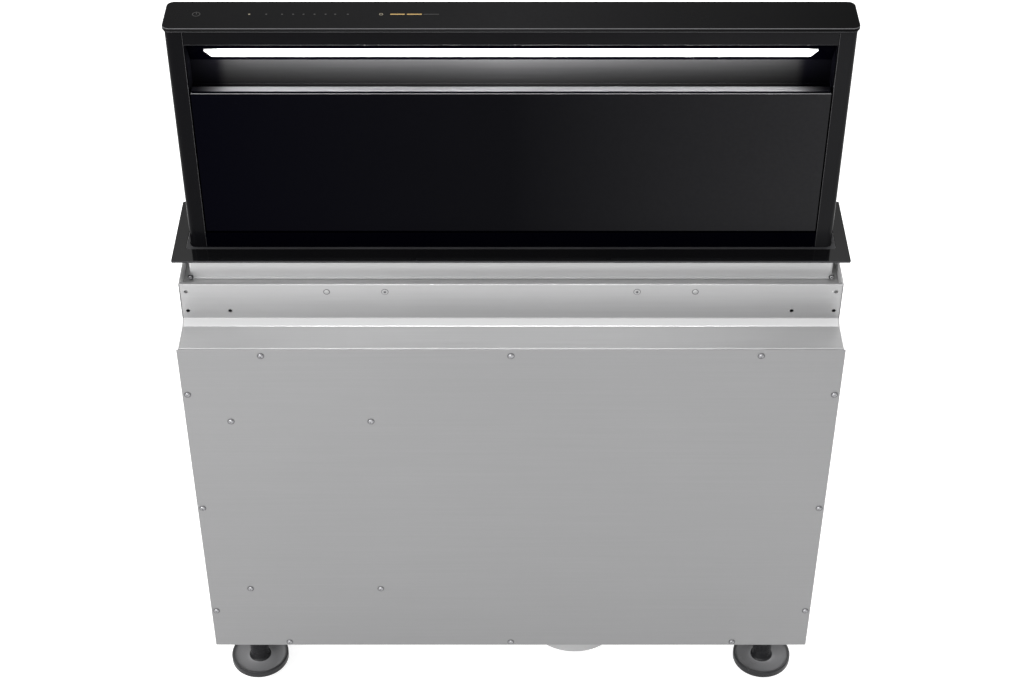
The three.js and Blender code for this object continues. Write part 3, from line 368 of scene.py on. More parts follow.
def foldSheet(name, node, path, bend):
    # an edge as wide as the node is extruded along (y, z) points, its folds are rounded and it
    # gets its thickness
    low, high = boxOf(node)
    deselectAll()
    bpy.ops.mesh.primitive_plane_add(size=2 * mm)
    piece = bpy.context.object
    piece.name = name
    pick(piece, "VERT", lambda place: place.y > 0)
    bpy.ops.mesh.delete(type="VERT")
    mesh = bmesh.from_edit_mesh(piece.data)
    for vertex in mesh.verts:
        vertex.co = Vector((low.x if vertex.co.x < 0 else high.x, *path[0])) * mm
    bmesh.update_edit_mesh(piece.data)
    bpy.ops.mesh.select_mode(type="EDGE")
    bpy.ops.mesh.select_all(action="SELECT")
    for (y0, z0), (y1, z1) in zip(path, path[1:]):
        bpy.ops.mesh.extrude_region_move(
            TRANSFORM_OT_translate={"value": (0, (y1 - y0) * mm, (z1 - z0) * mm)})
    endEdit()

    def isFold(middle, way):
        near = any(math.hypot(middle.y - y, middle.z - z) < 0.01 for y, z in path[1:-1])
        return near and abs(way.x) > 0.99

    pick(piece, "EDGE", isFold)
    bpy.ops.mesh.bevel(offset=bend * mm, segments=5, affect="EDGES")
    endEdit()
    useModifier(piece, "SOLIDIFY", thickness=sheet * mm, offset=-1, use_even_offset=True)
    tidyMesh(piece)
    softenEdges(piece, 0.2, 2, 60)
    mendMesh(piece)
    smooth(piece)
    return piece


def joinPieces(pieces, name):
    activate(pieces[0])
    for piece in pieces:
        piece.select_set(True)
    if len(pieces) > 1:
        bpy.ops.object.join()
    bpy.context.object.name = name
    return bpy.context.object


def copyTo(piece, places):
    # copies of a piece modelled at the origin, each with its own mesh, joined in one
    copies = []
    for place in places:
        activate(piece)
        bpy.ops.object.duplicate()
        copy = bpy.context.object
        copy.location = Vector(place) * mm
        settle(copy)
        copies.append(copy)
    name = piece.name
    bpy.data.objects.remove(piece)
    return joinPieces(copies, name)


def cutWith(piece, tools, operation="DIFFERENCE"):
    tool = joinPieces(tools, "cutter")
    useModifier(piece, "BOOLEAN", operation=operation, solver="EXACT", object=tool)
    bpy.data.objects.remove(tool)


def rodAlong(name, start, radius, length, sides=32, edge=0.3):
    # a rod with broken edges that runs backwards from its start
    rod = turnProfile(name, origin, "up", [
        (radius - edge, 0), (radius, edge), (radius, length - edge), (radius - edge, length)],
        sides)
    rod.rotation_euler = turns["back"]
    rod.location = Vector(start) * mm
    settle(rod)
    return rod


def copyNode(node):
    # a welded copy of a CAD node, its flat faces made whole
    activate(frame["nodes"][node])
    bpy.ops.object.duplicate()
    piece = bpy.context.object
    bpy.ops.object.parent_clear(type="CLEAR_KEEP_TRANSFORM")
    for key in list(piece.keys()):
        del piece[key]
    piece.name = nameOf(node)
    settle(piece)
    tidyMesh(piece, recalculate=False)
    editAll(piece)
    bpy.ops.mesh.dissolve_limited(angle_limit=math.radians(0.5))
    endEdit()
    return piece


# What a finish has when neither it nor its family says otherwise
plainFinish = dict(metallic=0.0, specular=0.5, bump=0.02, cloud=5.0)

# Families: the record's slot, how the grain is stretched, its bump and the scale of the cloud
zincBase = dict(slot="zinc_steel", metallic=0.75, roughness=(0.36, 0.44), stretch=(5, 380, 380),
                bump=0.007, cloud=2.2)
dullBase = dict(metallic=0.6, roughness=(0.4, 0.55), bump=0.03, cloud=40.0, specular=0.2)
steelBase = dict(slot="bright_steel", metallic=1.0)
coatBase = dict(slot="black_steel", stretch=900)
brushedBase = dict(slot="black_steel", stretch=(8, 300, 300), cloud=4.0)
glassBase = dict(slot="black_glass", stretch=300, bump=0.004, cloud=4.0)
plasticBase = dict(slot="dark_plastic", stretch=1600, bump=0.03, cloud=20.0)

# A tint is a grey, or red with green and then blue, or all three. A fade, which paints light
# and shade along a part, is an axis, a span along it and the tints at shares of that span
finishes = {
    "zincSheet": dict(zincBase, dark=(0.365, 0.368), light=(0.395, 0.398)),
    "zincCover": dict(zincBase, dark=(0.24, 0.243), light=(0.26, 0.263)),
    "zincSide": dict(
        zincBase, dark=(0.43, 0.433), light=(0.47, 0.473), metallic=0.5, stretch=(380, 5, 380)),
    # a very light zinc: painted light where the sleeve and the side panels' inner faces lie in
    # shade
    "zincPaintedLight": dict(zincBase, dark=(0.74, 0.744), light=(0.785, 0.789), metallic=0.2),
    # a dark sheet edge: the uncoated cut edge, darkened further as painted shade
    "cutEdgeAndShade": dict(
        dullBase, dark=(0.1, 0.104), light=(0.15, 0.156), slot="zinc_steel",
        stretch=(500, 500, 90)),
    "screwShade": dict(
        dullBase, dark=(0.1, 0.104), light=(0.14, 0.146), slot="bright_steel", stretch=500),
    "screwSteel": dict(
        steelBase, dark=(0.24, 0.25), light=(0.38, 0.39), roughness=(0.22, 0.32), stretch=500,
        bump=0.03, cloud=40.0),
    "brightSteel": dict(
        steelBase, dark=(0.6, 0.61), light=(0.74, 0.75), roughness=(0.18, 0.28),
        stretch=(90, 90, 900), bump=0.04, cloud=9.0),
    "copperWire": dict(
        steelBase, dark=(0.55, 0.25, 0.12), light=(0.72, 0.36, 0.18), roughness=(0.28, 0.38),
        stretch=(40, 1800, 1800), bump=0.2, cloud=30.0),
    "aluminium": dict(
        slot="aluminium", dark=(0.34, 0.345, 0.35), light=(0.42, 0.425, 0.43), metallic=1.0,
        roughness=(0.34, 0.48), stretch=300, bump=0.08, cloud=8.0),
    "blackCoat": dict(
        coatBase, dark=(0.0085, 0.0092), light=(0.011, 0.0118),
        roughness=(0.14, 0.22), specular=0.03,
        # painted light: the coat grows lighter towards +X
        fade=("X", (-436, 436), ((0, (0.3, 0.34)), (0.5, (0.5, 0.52)), (1, 1)))),
    # a lighter coat for edge faces: a painted highlight
    "edgePaintedHighlight": dict(coatBase, dark=(0.05, 0.053), light=(0.064, 0.068), roughness=(0.16, 0.24)),
    # a lighter coat for folds and front edges: a painted highlight
    "foldPaintedHighlight": dict(
        coatBase, dark=(0.026, 0.028), light=(0.034, 0.036), roughness=(0.3, 0.38), bump=0.01,
        specular=0.1),
    "stripCoat": dict(
        coatBase, dark=(0.0003, 0.0012), light=(0.0005, 0.0015), roughness=(0.14, 0.22),
        specular=0.002),
    "slotCoat": dict(
        brushedBase, dark=(0.033, 0.0337), light=(0.039, 0.0398),
        roughness=(0.36, 0.44), specular=0.01,
        # painted shade: dark at both ends of the slot
        fade=("X", (-412.5, 412.5), (
            (0, (0.08, 0.11)), (0.042, (0.08, 0.11)), (0.056, 0.47), (0.5, 1),
            (0.944, 0.36), (0.958, (0.05, 0.08)), (1, (0.05, 0.08)))),
        # painted shade: darker towards the slot's bottom
        secondFade=("Z", (1023, 1090), ((0, 0.24), (0.2, 0.39), (0.62, 0.75), (0.85, 1), (1, 1)))),
    "ledgeCoat": dict(
        brushedBase, dark=(0.165, 0.171), light=(0.19, 0.196), metallic=1.0,
        roughness=(0.4, 0.48),
        # painted shade: dark at both ends of the ledge
        fade=("X", (-412.5, 412.5), (
            (0, (0.08, 0.1)), (0.012, (0.1, 0.12)), (0.055, 1), (0.945, 1),
            (0.988, (0.1, 0.12)), (1, (0.08, 0.1))))),
    "frameGlass": dict(
        glassBase, dark=(0.003, 0.0034), light=(0.0046, 0.005), slot="black_steel",
        roughness=(0.05, 0.09), specular=0.36),
    "capGlass": dict(
        glassBase, dark=(0.0085, 0.009), light=(0.011, 0.0116),
        roughness=(0.08, 0.13), specular=0.035,
        # painted reflection: lighter in the middle, darkest towards +X
        fade=("X", (-440, 440), ((0, 0.5), (0.5, 1), (1, 0.12)))),
    "panelGlass": dict(
        glassBase, dark=(0.014, 0.015), light=(0.017, 0.018),
        roughness=(0.04, 0.08), stretch=200, bump=0.003, cloud=3.0, specular=0.006,
        # painted reflection: the glass grows lighter towards +X
        fade=("X", (-411, 411), ((0, (0.06, 0.14)), (0.5, (0.2, 0.24)), (1, 1)))),
    # a light tone for the glass's edge faces: a painted highlight
    "glassEdgePaintedHighlight": dict(
        glassBase, dark=(0.15, 0.156), light=(0.19, 0.196), roughness=(0.2, 0.28), specular=0.4),
    "footPlastic": dict(
        plasticBase, dark=(0.175, 0.181), light=(0.21, 0.216),
        roughness=(0.26, 0.34), specular=0.8,
        # painted reflection: the dish is lighter, the stem above it dark
        fade=("Z", (0, 30), ((0, 1), (0.24, 1), (0.42, 0.12), (1, 0.1)))),
    "footShade": dict(
        plasticBase, dark=(0.012, 0.013), light=(0.02, 0.022), roughness=(0.24, 0.32),
        specular=0.22),
    "darkPlastic": dict(
        plasticBase, dark=(0.02, 0.022), light=(0.034, 0.037), roughness=(0.34, 0.46), bump=0.08),
    "sealRubber": dict(
        slot="rubber", dark=(0.012, 0.014), light=(0.022, 0.024), roughness=(0.55, 0.72),
        stretch=900, bump=0.1, cloud=12.0),
    "motorGrey": dict(
        slot="motor_grey", dark=(0.06, 0.062, 0.066), light=(0.09, 0.093, 0.098), metallic=0.4,
        roughness=(0.38, 0.5), stretch=900, bump=0.06, cloud=14.0),
    "boardGreen": dict(
        slot="board", dark=(0.012, 0.085, 0.04), light=(0.02, 0.13, 0.062), roughness=(0.3, 0.42),
        stretch=(500, 500, 90), bump=0.05, cloud=60.0),
}

weave = {
    "grainScale": 1.0, "grainDetail": 3, "cloudDetail": 4, "cloudShare": 0.5,
    "toneSpan": (0.32, 0.68),  # where the dark tone ends and the light one begins
    "roughSpan": (0.3, 0.7), "bumpDistance": 0.0004,
}

glows = {
    # colour and strength
    "lampLight": ((1.0, 1.0, 1.0), 1.6),
    "amberMark": ((0.34, 0.22, 0.07), 0.45),
    "paleMark": ((0.15, 0.13, 0.09), 0.45),
    "dimMark": ((0.019, 0.018, 0.017), 0.2),
}
glowShape = {"slot": "lamp_plastic", "roughness": 0.35, "noiseScale": 60, "dimmer": 0.86}


def addFade(tree, coords, colour, axis, span, stops):
    # multiplies a colour by a ramp along one axis; the stops are shares of a span in millimetres
    place = addNode(tree, "SeparateXYZ", {0: coords}, axis)
    share = addNode(tree, "MapRange", {
        "Value": place, "From Min": span[0] * mm, "From Max": span[1] * mm})
    product = tree.nodes.new("ShaderNodeVectorMath")
    product.operation = "MULTIPLY"
    setInputs(tree, product, {0: colour, 1: addRamp(tree, share, stops)})
    return product.outputs[0]


def makeFinish(name):
    # a stretched grain and a slow cloud vary colour and roughness, and the grain is also a bump
    look = {**plainFinish, **finishes[name]}
    material, tree, shader = startMaterial(name)
    coords = addNode(tree, "TexCoord", {}, "Object")
    mapping = addNode(tree, "Mapping", {"Vector": coords, "Scale": triple(look["stretch"])})
    grain = addNode(tree, "TexNoise", {
        "Vector": mapping, "Scale": weave["grainScale"], "Detail": weave["grainDetail"]})
    cloud = addNode(tree, "TexNoise", {
        "Vector": coords, "Scale": look["cloud"], "Detail": weave["cloudDetail"]})
    both = addNode(tree, "Mix", {"Factor": weave["cloudShare"], "A": grain, "B": cloud})
    colour = addRamp(tree, both, list(zip(weave["toneSpan"], (look["dark"], look["light"]))))
    for key in ("fade", "secondFade"):
        if key in look:
            colour = addFade(tree, coords, colour, *look[key])
    rough = addNode(tree, "MapRange", {
        "Value": both, "From Min": weave["roughSpan"][0], "From Max": weave["roughSpan"][1],
        "To Min": look["roughness"][0], "To Max": look["roughness"][1]})
    bump = addNode(tree, "Bump", {
        "Height": grain, "Strength": look["bump"], "Distance": weave["bumpDistance"]})
    setInputs(tree, shader, {
        "Base Color": colour, "Roughness": rough, "Normal": bump,
        "Metallic": look["metallic"], "Specular IOR Level": look["specular"]})
    return material


def makeGlow(name):
    # a lit face whose own colour varies a little
    colour, strength = glows[name]
    material, tree, shader = startMaterial(name)
    noise = addNode(tree, "TexNoise", {
        "Vector": addNode(tree, "TexCoord", {}, "Object"), "Scale": glowShape["noiseScale"]})
    dimmed = tuple(glowShape["dimmer"] * part for part in colour)
    setInputs(tree, shader, {
        "Base Color": addRamp(tree, noise, ((0, dimmed), (1, colour))),
        "Roughness": glowShape["roughness"],
        "Emission Color": (*colour, 1), "Emission Strength": strength})
    return material


print("stage: finishes")
finish = {name: makeFinish(name) for name in finishes}
finish.update({name: makeGlow(name) for name in glows})
slotOf = {name: look["slot"] for name, look in finishes.items()}
slotOf.update({name: glowShape["slot"] for name in glows})
bodies = frame["record"]["behaviour"]["bodies"]
bodyOf = {node: body for body, nodes in bodies.items() for node in nodes}


def dress(piece, look, node=None, body="casing"):
    # a finished piece gets its finish and its body, and the node it stands for, where there is one,
    # is hidden
    piece.data.materials.clear()
    piece.data.materials.append(finish[look])
    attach(piece, bodyOf[node] if node else body)
    if node:
        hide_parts(node)
    return piece


def lightEdges(piece, test, look="edgePaintedHighlight"):
    # the faces that pass the test get one more finish; by default a lighter one, a painted
    # highlight
    piece.data.materials.append(finish[look])
    number = len(piece.data.materials) - 1
    for face in piece.data.polygons:
        if test(face.center / mm, face.normal):
            face.material_index = number


def isSlanted(normal):
    return max(abs(part) for part in normal) < 0.995


def dressNode(node, look, edge=0.3, segments=2):
    # a CAD node whose shape is right, with its edges softened
    piece = copyNode(node)
    softenEdges(piece, edge, segments)
    return dress(piece, look, node)


def makeStuds(name, look, places, profile, sides, angle, way="front"):
    # one turned shape at each place
    stud = turnProfile(name, origin, way, profile, sides, angle=angle)
    return dress(copyTo(stud, places), look)


deselectAll()
bpy.ops.mesh.primitive_plane_add(size=studio["floorSize"], location=(0, 0, -studio["floorDrop"]))
floor = bpy.context.object
floor.name = "studioFloor"
floorMaterial, floorTree, floorShader = startMaterial("paleFloor")
floorSeen = addNode(floorTree, "LightPath", {}, "Is Camera Ray")
setInputs(floorTree, floorShader, {
    "Base Color": (*studio["floorColour"], 1),
    "Roughness": studio["floorRoughness"],
    "Specular IOR Level": studio["floorSpecular"],
    "Emission Color": (1, 1, 1, 1),
    "Emission Strength": addNode(floorTree, "Mix", {
        "Factor": floorSeen, "A": studio["floorGlow"], "B": studio["floorShown"]})})
floor.data.materials.append(floorMaterial)


print("stage: worktop frame, seal and sleeve")

topFrame = dressNode("worktop_frame", "frameGlass", 0.35, 3)
# the frame's front faces get a painted highlight
lightEdges(topFrame, lambda middle, normal: normal.y < -0.2 and middle.y < -30, "foldPaintedHighlight")
dressNode("opening_seal", "sealRubber", 0.6, 3)
# the sleeve in the painted-light zinc
dressNode("collar_sleeve", "zincPaintedLight", 0.2)
dressNode("guide_shaft", "zincSide", 0.2)

sleevePins = {
    "radius": 2.6, "length": 3.0, "collar": 3.7, "collarLength": 1.0,
    "raise": 3.6,  # above the sleeve's lower edge
    "inset": 3.0,  # inside its lip's sides
}
low, high = boxOf("collar_sleeve")
pinX = high.x - sleevePins["inset"]
pinPlaces = [(x, low.y, low.z + sleevePins["raise"]) for x in (-pinX, pinX)]
pinR, pinL = sleevePins["radius"], sleevePins["length"]
makeStuds("sleevePins", "brightSteel", pinPlaces, [
    (pinR, 0.5), (pinR, 0.7 * pinL), (0.8 * pinR, 0.92 * pinL), (0.45 * pinR, pinL),
    (0.1 * pinR, pinL)], 24, 35)
pinR, pinL = sleevePins["collar"], sleevePins["collarLength"]
# a dark collar round each pin: painted shade
makeStuds("sleevePinShadeCollars", "screwShade", pinPlaces, [
    (pinR, -0.2), (pinR, 0.7 * pinL), (0.92 * pinR, pinL), (1.5, pinL)], 32, 35)


print("stage: casing")

screwHead = {
    "radius": 3.9, "height": 2.0, "recess": 1.5, "recessDepth": 0.7,
    "seatRadius": 5.0,  # the dark washer under the head, a painted contact shadow
    "seatHeight": 0.7,
}


def makeScrews(name, shape, places, look="screwSteel"):
    # low round heads with a six-sided recess
    r, h, recess = shape["radius"], shape["height"], shape["recess"]
    screw = turnProfile(name, origin, "up", [
        (r, -0.4), (r, 0.22 * h), (0.93 * r, 0.48 * h), (0.76 * r, 0.78 * h), (0.55 * r, 0.95 * h),
        (recess * 1.08, h)], 36)
    deselectAll()
    bpy.ops.mesh.primitive_cylinder_add(
        vertices=6, radius=recess * mm, depth=2 * shape["recessDepth"] * mm,
        location=(0, 0, h * mm))
    cutWith(screw, [bpy.context.object])
    screw.rotation_euler = turns["front"]
    settle(screw)
    smooth(screw, 40)
    dress(copyTo(screw, places), look)


# a low disc at each place; in the default dark finish it is a painted shade ring round a head
def makeSeats(name, radius, height, places, look="screwShade"):
    makeStuds(name, look, places, [
        (radius, -0.2), (radius, 0.6 * height), (0.94 * radius, height), (0.3 * radius, height)],
        36, 40)


coverShape = {
    "corner": 1.6, "edge": 0.58,
    "rowInset": 113.5,  # the outer screws of the upper and lower rows, from the cover's sides
    "rowDrop": 11, "rowRaise": 7, "sideInset": 7.5, "sideDrops": (81, 300, 517),
    "boxX": (-389.5, -194.7),  # the four screws in front of the electronics box
    "boxDrops": (130.6, 468.5),
}
coverLow, coverHigh = boxOf("front_cover")
coverFront = coverLow.y + screwHead["height"]
cover = addPlate(
    "frontCover", (coverLow.x, coverFront, coverLow.z),
    (coverHigh.x, coverFront + sheet, coverHigh.z),
    1, coverShape["corner"], 4, coverShape["edge"], 3)
rowX = coverHigh.x - coverShape["rowInset"]
sideX = coverHigh.x - coverShape["sideInset"]
rows = (coverHigh.z - coverShape["rowDrop"], coverLow.z + coverShape["rowRaise"])
spots = [(x, z) for z in rows for x in (-rowX, 0, rowX)]
for columns, drops in (((-sideX, sideX), coverShape["sideDrops"]),
                       (coverShape["boxX"], coverShape["boxDrops"])):
    spots += [(x, coverHigh.z - drop) for x in columns for drop in drops]
screwPlaces = [(x, coverFront, z) for x, z in spots]
makeScrews("coverScrews", screwHead, screwPlaces)
# dark discs under the screw heads: a painted contact shadow
makeSeats("coverScrewShadeSeats", screwHead["seatRadius"], screwHead["seatHeight"], screwPlaces)
dress(cover, "zincCover", "front_cover")

upperWall = {
    "setBack": 57.5,  # its face behind the side panels' front edges
    "topFold": 5, "topDrop": 1.4, "shoulderDrop": 60, "shoulderStep": 11, "ledgeDrop": 66,
    "bend": 0.9,
    "holes": ((441, 14), (441, 47), (383.5, 47)),  # from the middle, below the upper edge
    "holeRadius": 2.7, "drill": 14,
}
upperLow, upperHigh = boxOf("upper_front_panel")
wallFront = boxOf("side_panel_right")[0].y + upperWall["setBack"]
ledgeZ = upperHigh.z - upperWall["ledgeDrop"]
wallTop = upperHigh.z - upperWall["topDrop"]
upperPath = [
    (wallFront + upperWall["topFold"], wallTop),
    (wallFront, wallTop),
    (wallFront, upperHigh.z - upperWall["shoulderDrop"]),
    (wallFront - upperWall["shoulderStep"], ledgeZ),
    (upperLow.y, ledgeZ),
    (upperLow.y, upperLow.z),
]
upperPanel = foldSheet("upperWall", "upper_front_panel", upperPath, upperWall["bend"])


def boreAt(x, drop):
    deselectAll()
    bpy.ops.mesh.primitive_cylinder_add(
        vertices=24, radius=upperWall["holeRadius"] * mm, depth=upperWall["drill"] * mm,
        location=(x * mm, wallFront * mm, (upperHigh.z - drop) * mm), rotation=turns["front"])
    return bpy.context.object


cutWith(upperPanel, [boreAt(side * x, drop) for side in (-1, 1) for x, drop in upperWall["holes"]])
mendMesh(upperPanel)
smooth(upperPanel)
dress(upperPanel, "zincSheet", "upper_front_panel")

wallBolt = {
    "x": 171, "drop": 14, "radius": 1.9, "height": 1.6, "recess": 1.0, "recessDepth": 0.5,
    "seatRadius": 4.2, "seatHeight": 0.7,
    "ringWider": 0.7,  # the dark ring round the seat: painted shade
    "ringHeight": 0.3,
}
boltZ = upperHigh.z - wallBolt["drop"]
boltPlaces = [(side * wallBolt["x"], wallFront, boltZ) for side in (-1, 1)]
makeScrews("wallBolts", wallBolt, boltPlaces, "screwShade")
# a dark ring round each bolt seat: painted shade
makeSeats("wallBoltShadeRings", wallBolt["seatRadius"] + wallBolt["ringWider"], wallBolt["ringHeight"],
          boltPlaces)
makeSeats("wallBoltSeats", wallBolt["seatRadius"], wallBolt["seatHeight"], boltPlaces, "zincSheet")

wallDimple = {"x": 250, "radius": 4.0, "height": 0.6, "ringWider": 0.6, "ringHeight": 0.25}
dimpleR, dimpleH = wallDimple["radius"], wallDimple["height"]
dimplePlaces = [(side * wallDimple["x"], wallFront, boltZ) for side in (-1, 1)]
makeStuds("wallDimples", "zincSheet", dimplePlaces, [
    (dimpleR, -0.3), (dimpleR, 0), (0.85 * dimpleR, 0.6 * dimpleH),
    (0.55 * dimpleR, 0.92 * dimpleH), (0.2 * dimpleR, dimpleH)], 28, 50)
# a dark ring round each dimple: painted shade
makeSeats("wallDimpleShadeRings", dimpleR + wallDimple["ringWider"], wallDimple["ringHeight"],
          dimplePlaces, "cutEdgeAndShade")

for side, sign in (("right", 1), ("left", -1)):
    panel = dressNode("side_panel_" + side, "zincSide")
    cutWith(panel, [boreAt(sign * x, drop) for x, drop in upperWall["holes"][:2]])
    # the side panels' front edges get the dark cut edge, partly painted shade
    lightEdges(panel, lambda middle, normal: normal.y < -0.9 and abs(middle.x) > 447, "cutEdgeAndShade")
    # the side panels' inner faces get the painted-light zinc
    lightEdges(panel, lambda middle, normal: middle.x * normal.x < -400, "zincPaintedLight")
dressNode("bottom_panel", "zincSheet")

backPanel = {
    "corner": 1.6, "edge": 0.25, "rivetRadius": 3.0, "rivetHeight": 1.1, "rivetInset": 6.0,
    "rivetRows": 7,
    "rowEnd": 30,  # the lowest and highest rows, from the panel's edges
    "lowRivets": (-300, -150, 0, 150, 300), "lowRaise": 7,
}
backLow, backHigh = boxOf("back_panel")
back = addPlate("backPanel", backLow, backHigh, 1, backPanel["corner"], 4, backPanel["edge"])
dress(back, "zincSheet", "back_panel")
rivetR, rivetH = backPanel["rivetRadius"], backPanel["rivetHeight"]
rivetRows, rowEnd = backPanel["rivetRows"], backPanel["rowEnd"]
rivetSpan = (backHigh.z - backLow.z - 2 * rowEnd) / (rivetRows - 1)
rivetX = backHigh.x - backPanel["rivetInset"]
rivetPlaces = [(side * rivetX, backHigh.y, backLow.z + rowEnd + row * rivetSpan)
               for side in (-1, 1) for row in range(rivetRows)]
rivetPlaces += [(x, backHigh.y, backLow.z + backPanel["lowRaise"]) for x in backPanel["lowRivets"]]
makeStuds("backRivets", "screwSteel", rivetPlaces, [
    (rivetR, -0.3), (rivetR, 0.2 * rivetH), (0.82 * rivetR, 0.65 * rivetH), (0.5 * rivetR, rivetH),
    (0.4 * rivetR, 0.5 * rivetH), (0.1 * rivetR, 0.45 * rivetH)], 24, 50, "back")


print("stage: feet")

footShape = {
    "profile": [
        (42.5, 0), (44.5, 1.4), (44.5, 9.6), (44.1, 11.2), (43.2, 12), (41.8, 12), (41.0, 11.4),
        (39.6, 8.6), (36.5, 6.9), (31, 6.1), (25, 5.8), (20.0, 6.2), (17.0, 7.2), (15.2, 9.0),
        (14.2, 11.5), (13.7, 15), (13.6, 20.6), (13.0, 21.7), (6.0, 21.7),
    ],
    "dish": (17, 43),  # the ring that keeps the lighter finish, a painted reflection
    "threadFrom": 22.6, "threadPitch": 1.75, "threadDepth": 0.55, "studRadius": 5.9,
}
socketShape = [
    (6.4, 22.1), (14.0, 22.1), (14.5, 23), (14.7, 42), (15.6, 78), (16.3, 81), (18, 83.6),
    (21.6, 85.4), (22, 86.2), (22, 88.7), (6.4, 88.7), (6.4, 22.1),
]


def makeFoot(node):
    middle, top = middleOf(node), boxOf(node)[1].z
    profile = list(footShape["profile"])
    z, stud, pitch = footShape["threadFrom"], footShape["studRadius"], footShape["threadPitch"]
    while z < top - 2:
        profile += [(stud, z), (stud - footShape["threadDepth"], z + pitch / 2)]
        z += pitch
    profile += [(stud - 1, top), (0.01, top)]
    return turnProfile(nameOf(node), (middle.x, middle.y, 0), "up", profile, 56, angle=50)


for place in ("front_left", "front_right", "back_left", "back_right"):
    footNode, socketNode = "foot_" + place, "foot_socket_" + place
    foot = makeFoot(footNode)
    dress(foot, "footPlastic", footNode)
    centre = middleOf(socketNode)
    inner, outer = footShape["dish"]
    # outside the dish the foot gets the darker finish
    lightEdges(foot, lambda middle, normal: not inner < math.hypot(
        middle.x - centre.x, middle.y - centre.y) < outer, "footShade")
    socket = turnProfile(nameOf(socketNode), (centre.x, centre.y, 0), "up", socketShape, 48,
                         ring=True, angle=50)
    dress(socket, "footShade", socketNode)


print("stage: chimney")

postShape = {"radius": 9.0, "wall": 2.0, "segments": 12, "edge": 0.3}
postInner = boxOf("side_post_right")[0].x
for side, sign in (("right", 1), ("left", -1)):
    node = "side_post_" + side
    post = addBox(nameOf(node), *boxOf(node))
    dropFaces(post, lambda middle, normal: sign * normal.x < -0.9)
    roundCorners(post, 2, postShape["radius"], postShape["segments"],
                 lambda middle: sign * middle.x > postInner + 1)
    dropFaces(post, lambda middle, normal: abs(normal.z) > 0.9)
    useModifier(post, "SOLIDIFY", thickness=postShape["wall"] * mm, offset=-1)
    softenEdges(post, postShape["edge"], 2, 50)
    dress(post, "blackCoat", node)
    # the posts' inner edges get a painted highlight
    lightEdges(post, lambda middle, normal: abs(middle.x) < postInner + 0.6 and isSlanted(normal))

capShape = {"radius": 10.0, "segments": 10, "edge": 0.8, "trayEdge": 0.5, "printed": 0.03}
for node, look, edge, lower in (("cap_tray", "blackCoat", capShape["trayEdge"], 0),
                                ("cap_plate", "capGlass", capShape["edge"], capShape["printed"])):
    low, high = boxOf(node)
    high.z -= lower
    plate = addPlate(nameOf(node), low, high, 2, capShape["radius"], capShape["segments"],
                     edge, 3, 50)
    dress(plate, look, node)
    # the plates' upper edges get a painted highlight
    lightEdges(plate, lambda middle, normal: normal.z > 0.05 and isSlanted(normal)
               and middle.z > high.z - 1)

capMarks = {
    "line": 31.6,  # the row's place across the cap
    "thick": 0.2,
    "power": (-397.4, 5.2, 0.9),  # place, radius and line width
    "lampMark": (-164.0, 2.6, 1.0), "dot": (-330.5, 1.5),
    "steps": (-309, -289, -275, -262, -248, -234, -222, -206), "stepRadius": 1.3,
    "bars": ((-152.6, -134.0), (-131.6, -112.4)), "spareBar": (-110.6, -90.8), "barWidth": 2.2,
}
markTop = boxOf("cap_plate")[1].z


def markDisc(name, x, radius, inner=0):
    thick = capMarks["thick"]
    profile = [(radius, -thick), (radius, 0)]
    if inner:
        profile += [(inner, 0), (inner, -thick), (radius, -thick)]
    else:
        profile.append((0.05, 0))
    return turnProfile(name, (x, capMarks["line"], markTop), "up", profile, 32, ring=bool(inner))


def markBar(name, x0, x1, width):
    y = capMarks["line"]
    bar = addBox(name, (x0, y - width / 2, markTop - capMarks["thick"]),
                 (x1, y + width / 2, markTop))
    roundCorners(bar, 2, 0.42 * width, 6)
    return bar


powerX, powerR, powerLine = capMarks["power"]
powerRing = markDisc("capPowerMark", powerX, powerR, powerR - powerLine)
powerStem = markBar("powerStem", powerX - powerLine / 2, powerX + powerLine / 2, powerLine)
shiftPoints(powerStem, lambda place: place.y > capMarks["line"], (0, powerR, 0))
steps = [markDisc("capStepMark", x, capMarks["stepRadius"]) for x in capMarks["steps"]]
dimBar = markBar("dimBar", *capMarks["spareBar"], 0.6 * capMarks["barWidth"])
lampX, lampR, lampLine = capMarks["lampMark"]
lampRing = markDisc("lampRing", lampX, lampR, lampR - lampLine)
firstDot = markDisc("firstDot", *capMarks["dot"])
amberBars = [markBar("amberBar", x0, x1, capMarks["barWidth"]) for x0, x1 in capMarks["bars"]]
for pieces, name, look in (([powerRing, powerStem, dimBar, *steps], "capDimMarks", "dimMark"),
                           ([lampRing, firstDot], "capPaleMarks", "paleMark"),
                           (amberBars, "capAmberMarks", "amberMark")):
    dress(joinPieces(pieces, name), look, body="chimney")

fasciaBend = 2.2
low, high = boxOf("fascia")
fasciaPath = [(low.y, high.z), (low.y, low.z), (high.y, low.z)]
fascia = foldSheet("fasciaPlate", "fascia", fasciaPath, fasciaBend)
dress(fascia, "blackCoat", "fascia")
# the fascia's lower fold gets a painted highlight
lightEdges(fascia, lambda middle, normal: normal.z < -0.2 and normal.y < -0.2, "foldPaintedHighlight")
dressNode("slot_lining", "slotCoat", 0.25)

lampShape = {
    "reach": (372, 392),  # the lamp's slanted ends lie between these
    "topWider": 5.5, "bottomWider": 3.5, "topDrop": 2.2, "edge": 0.25,
}
lampLow, lampHigh = boxOf("lamp_diffuser")
lampMiddle = (lampLow.z + lampHigh.z) / 2


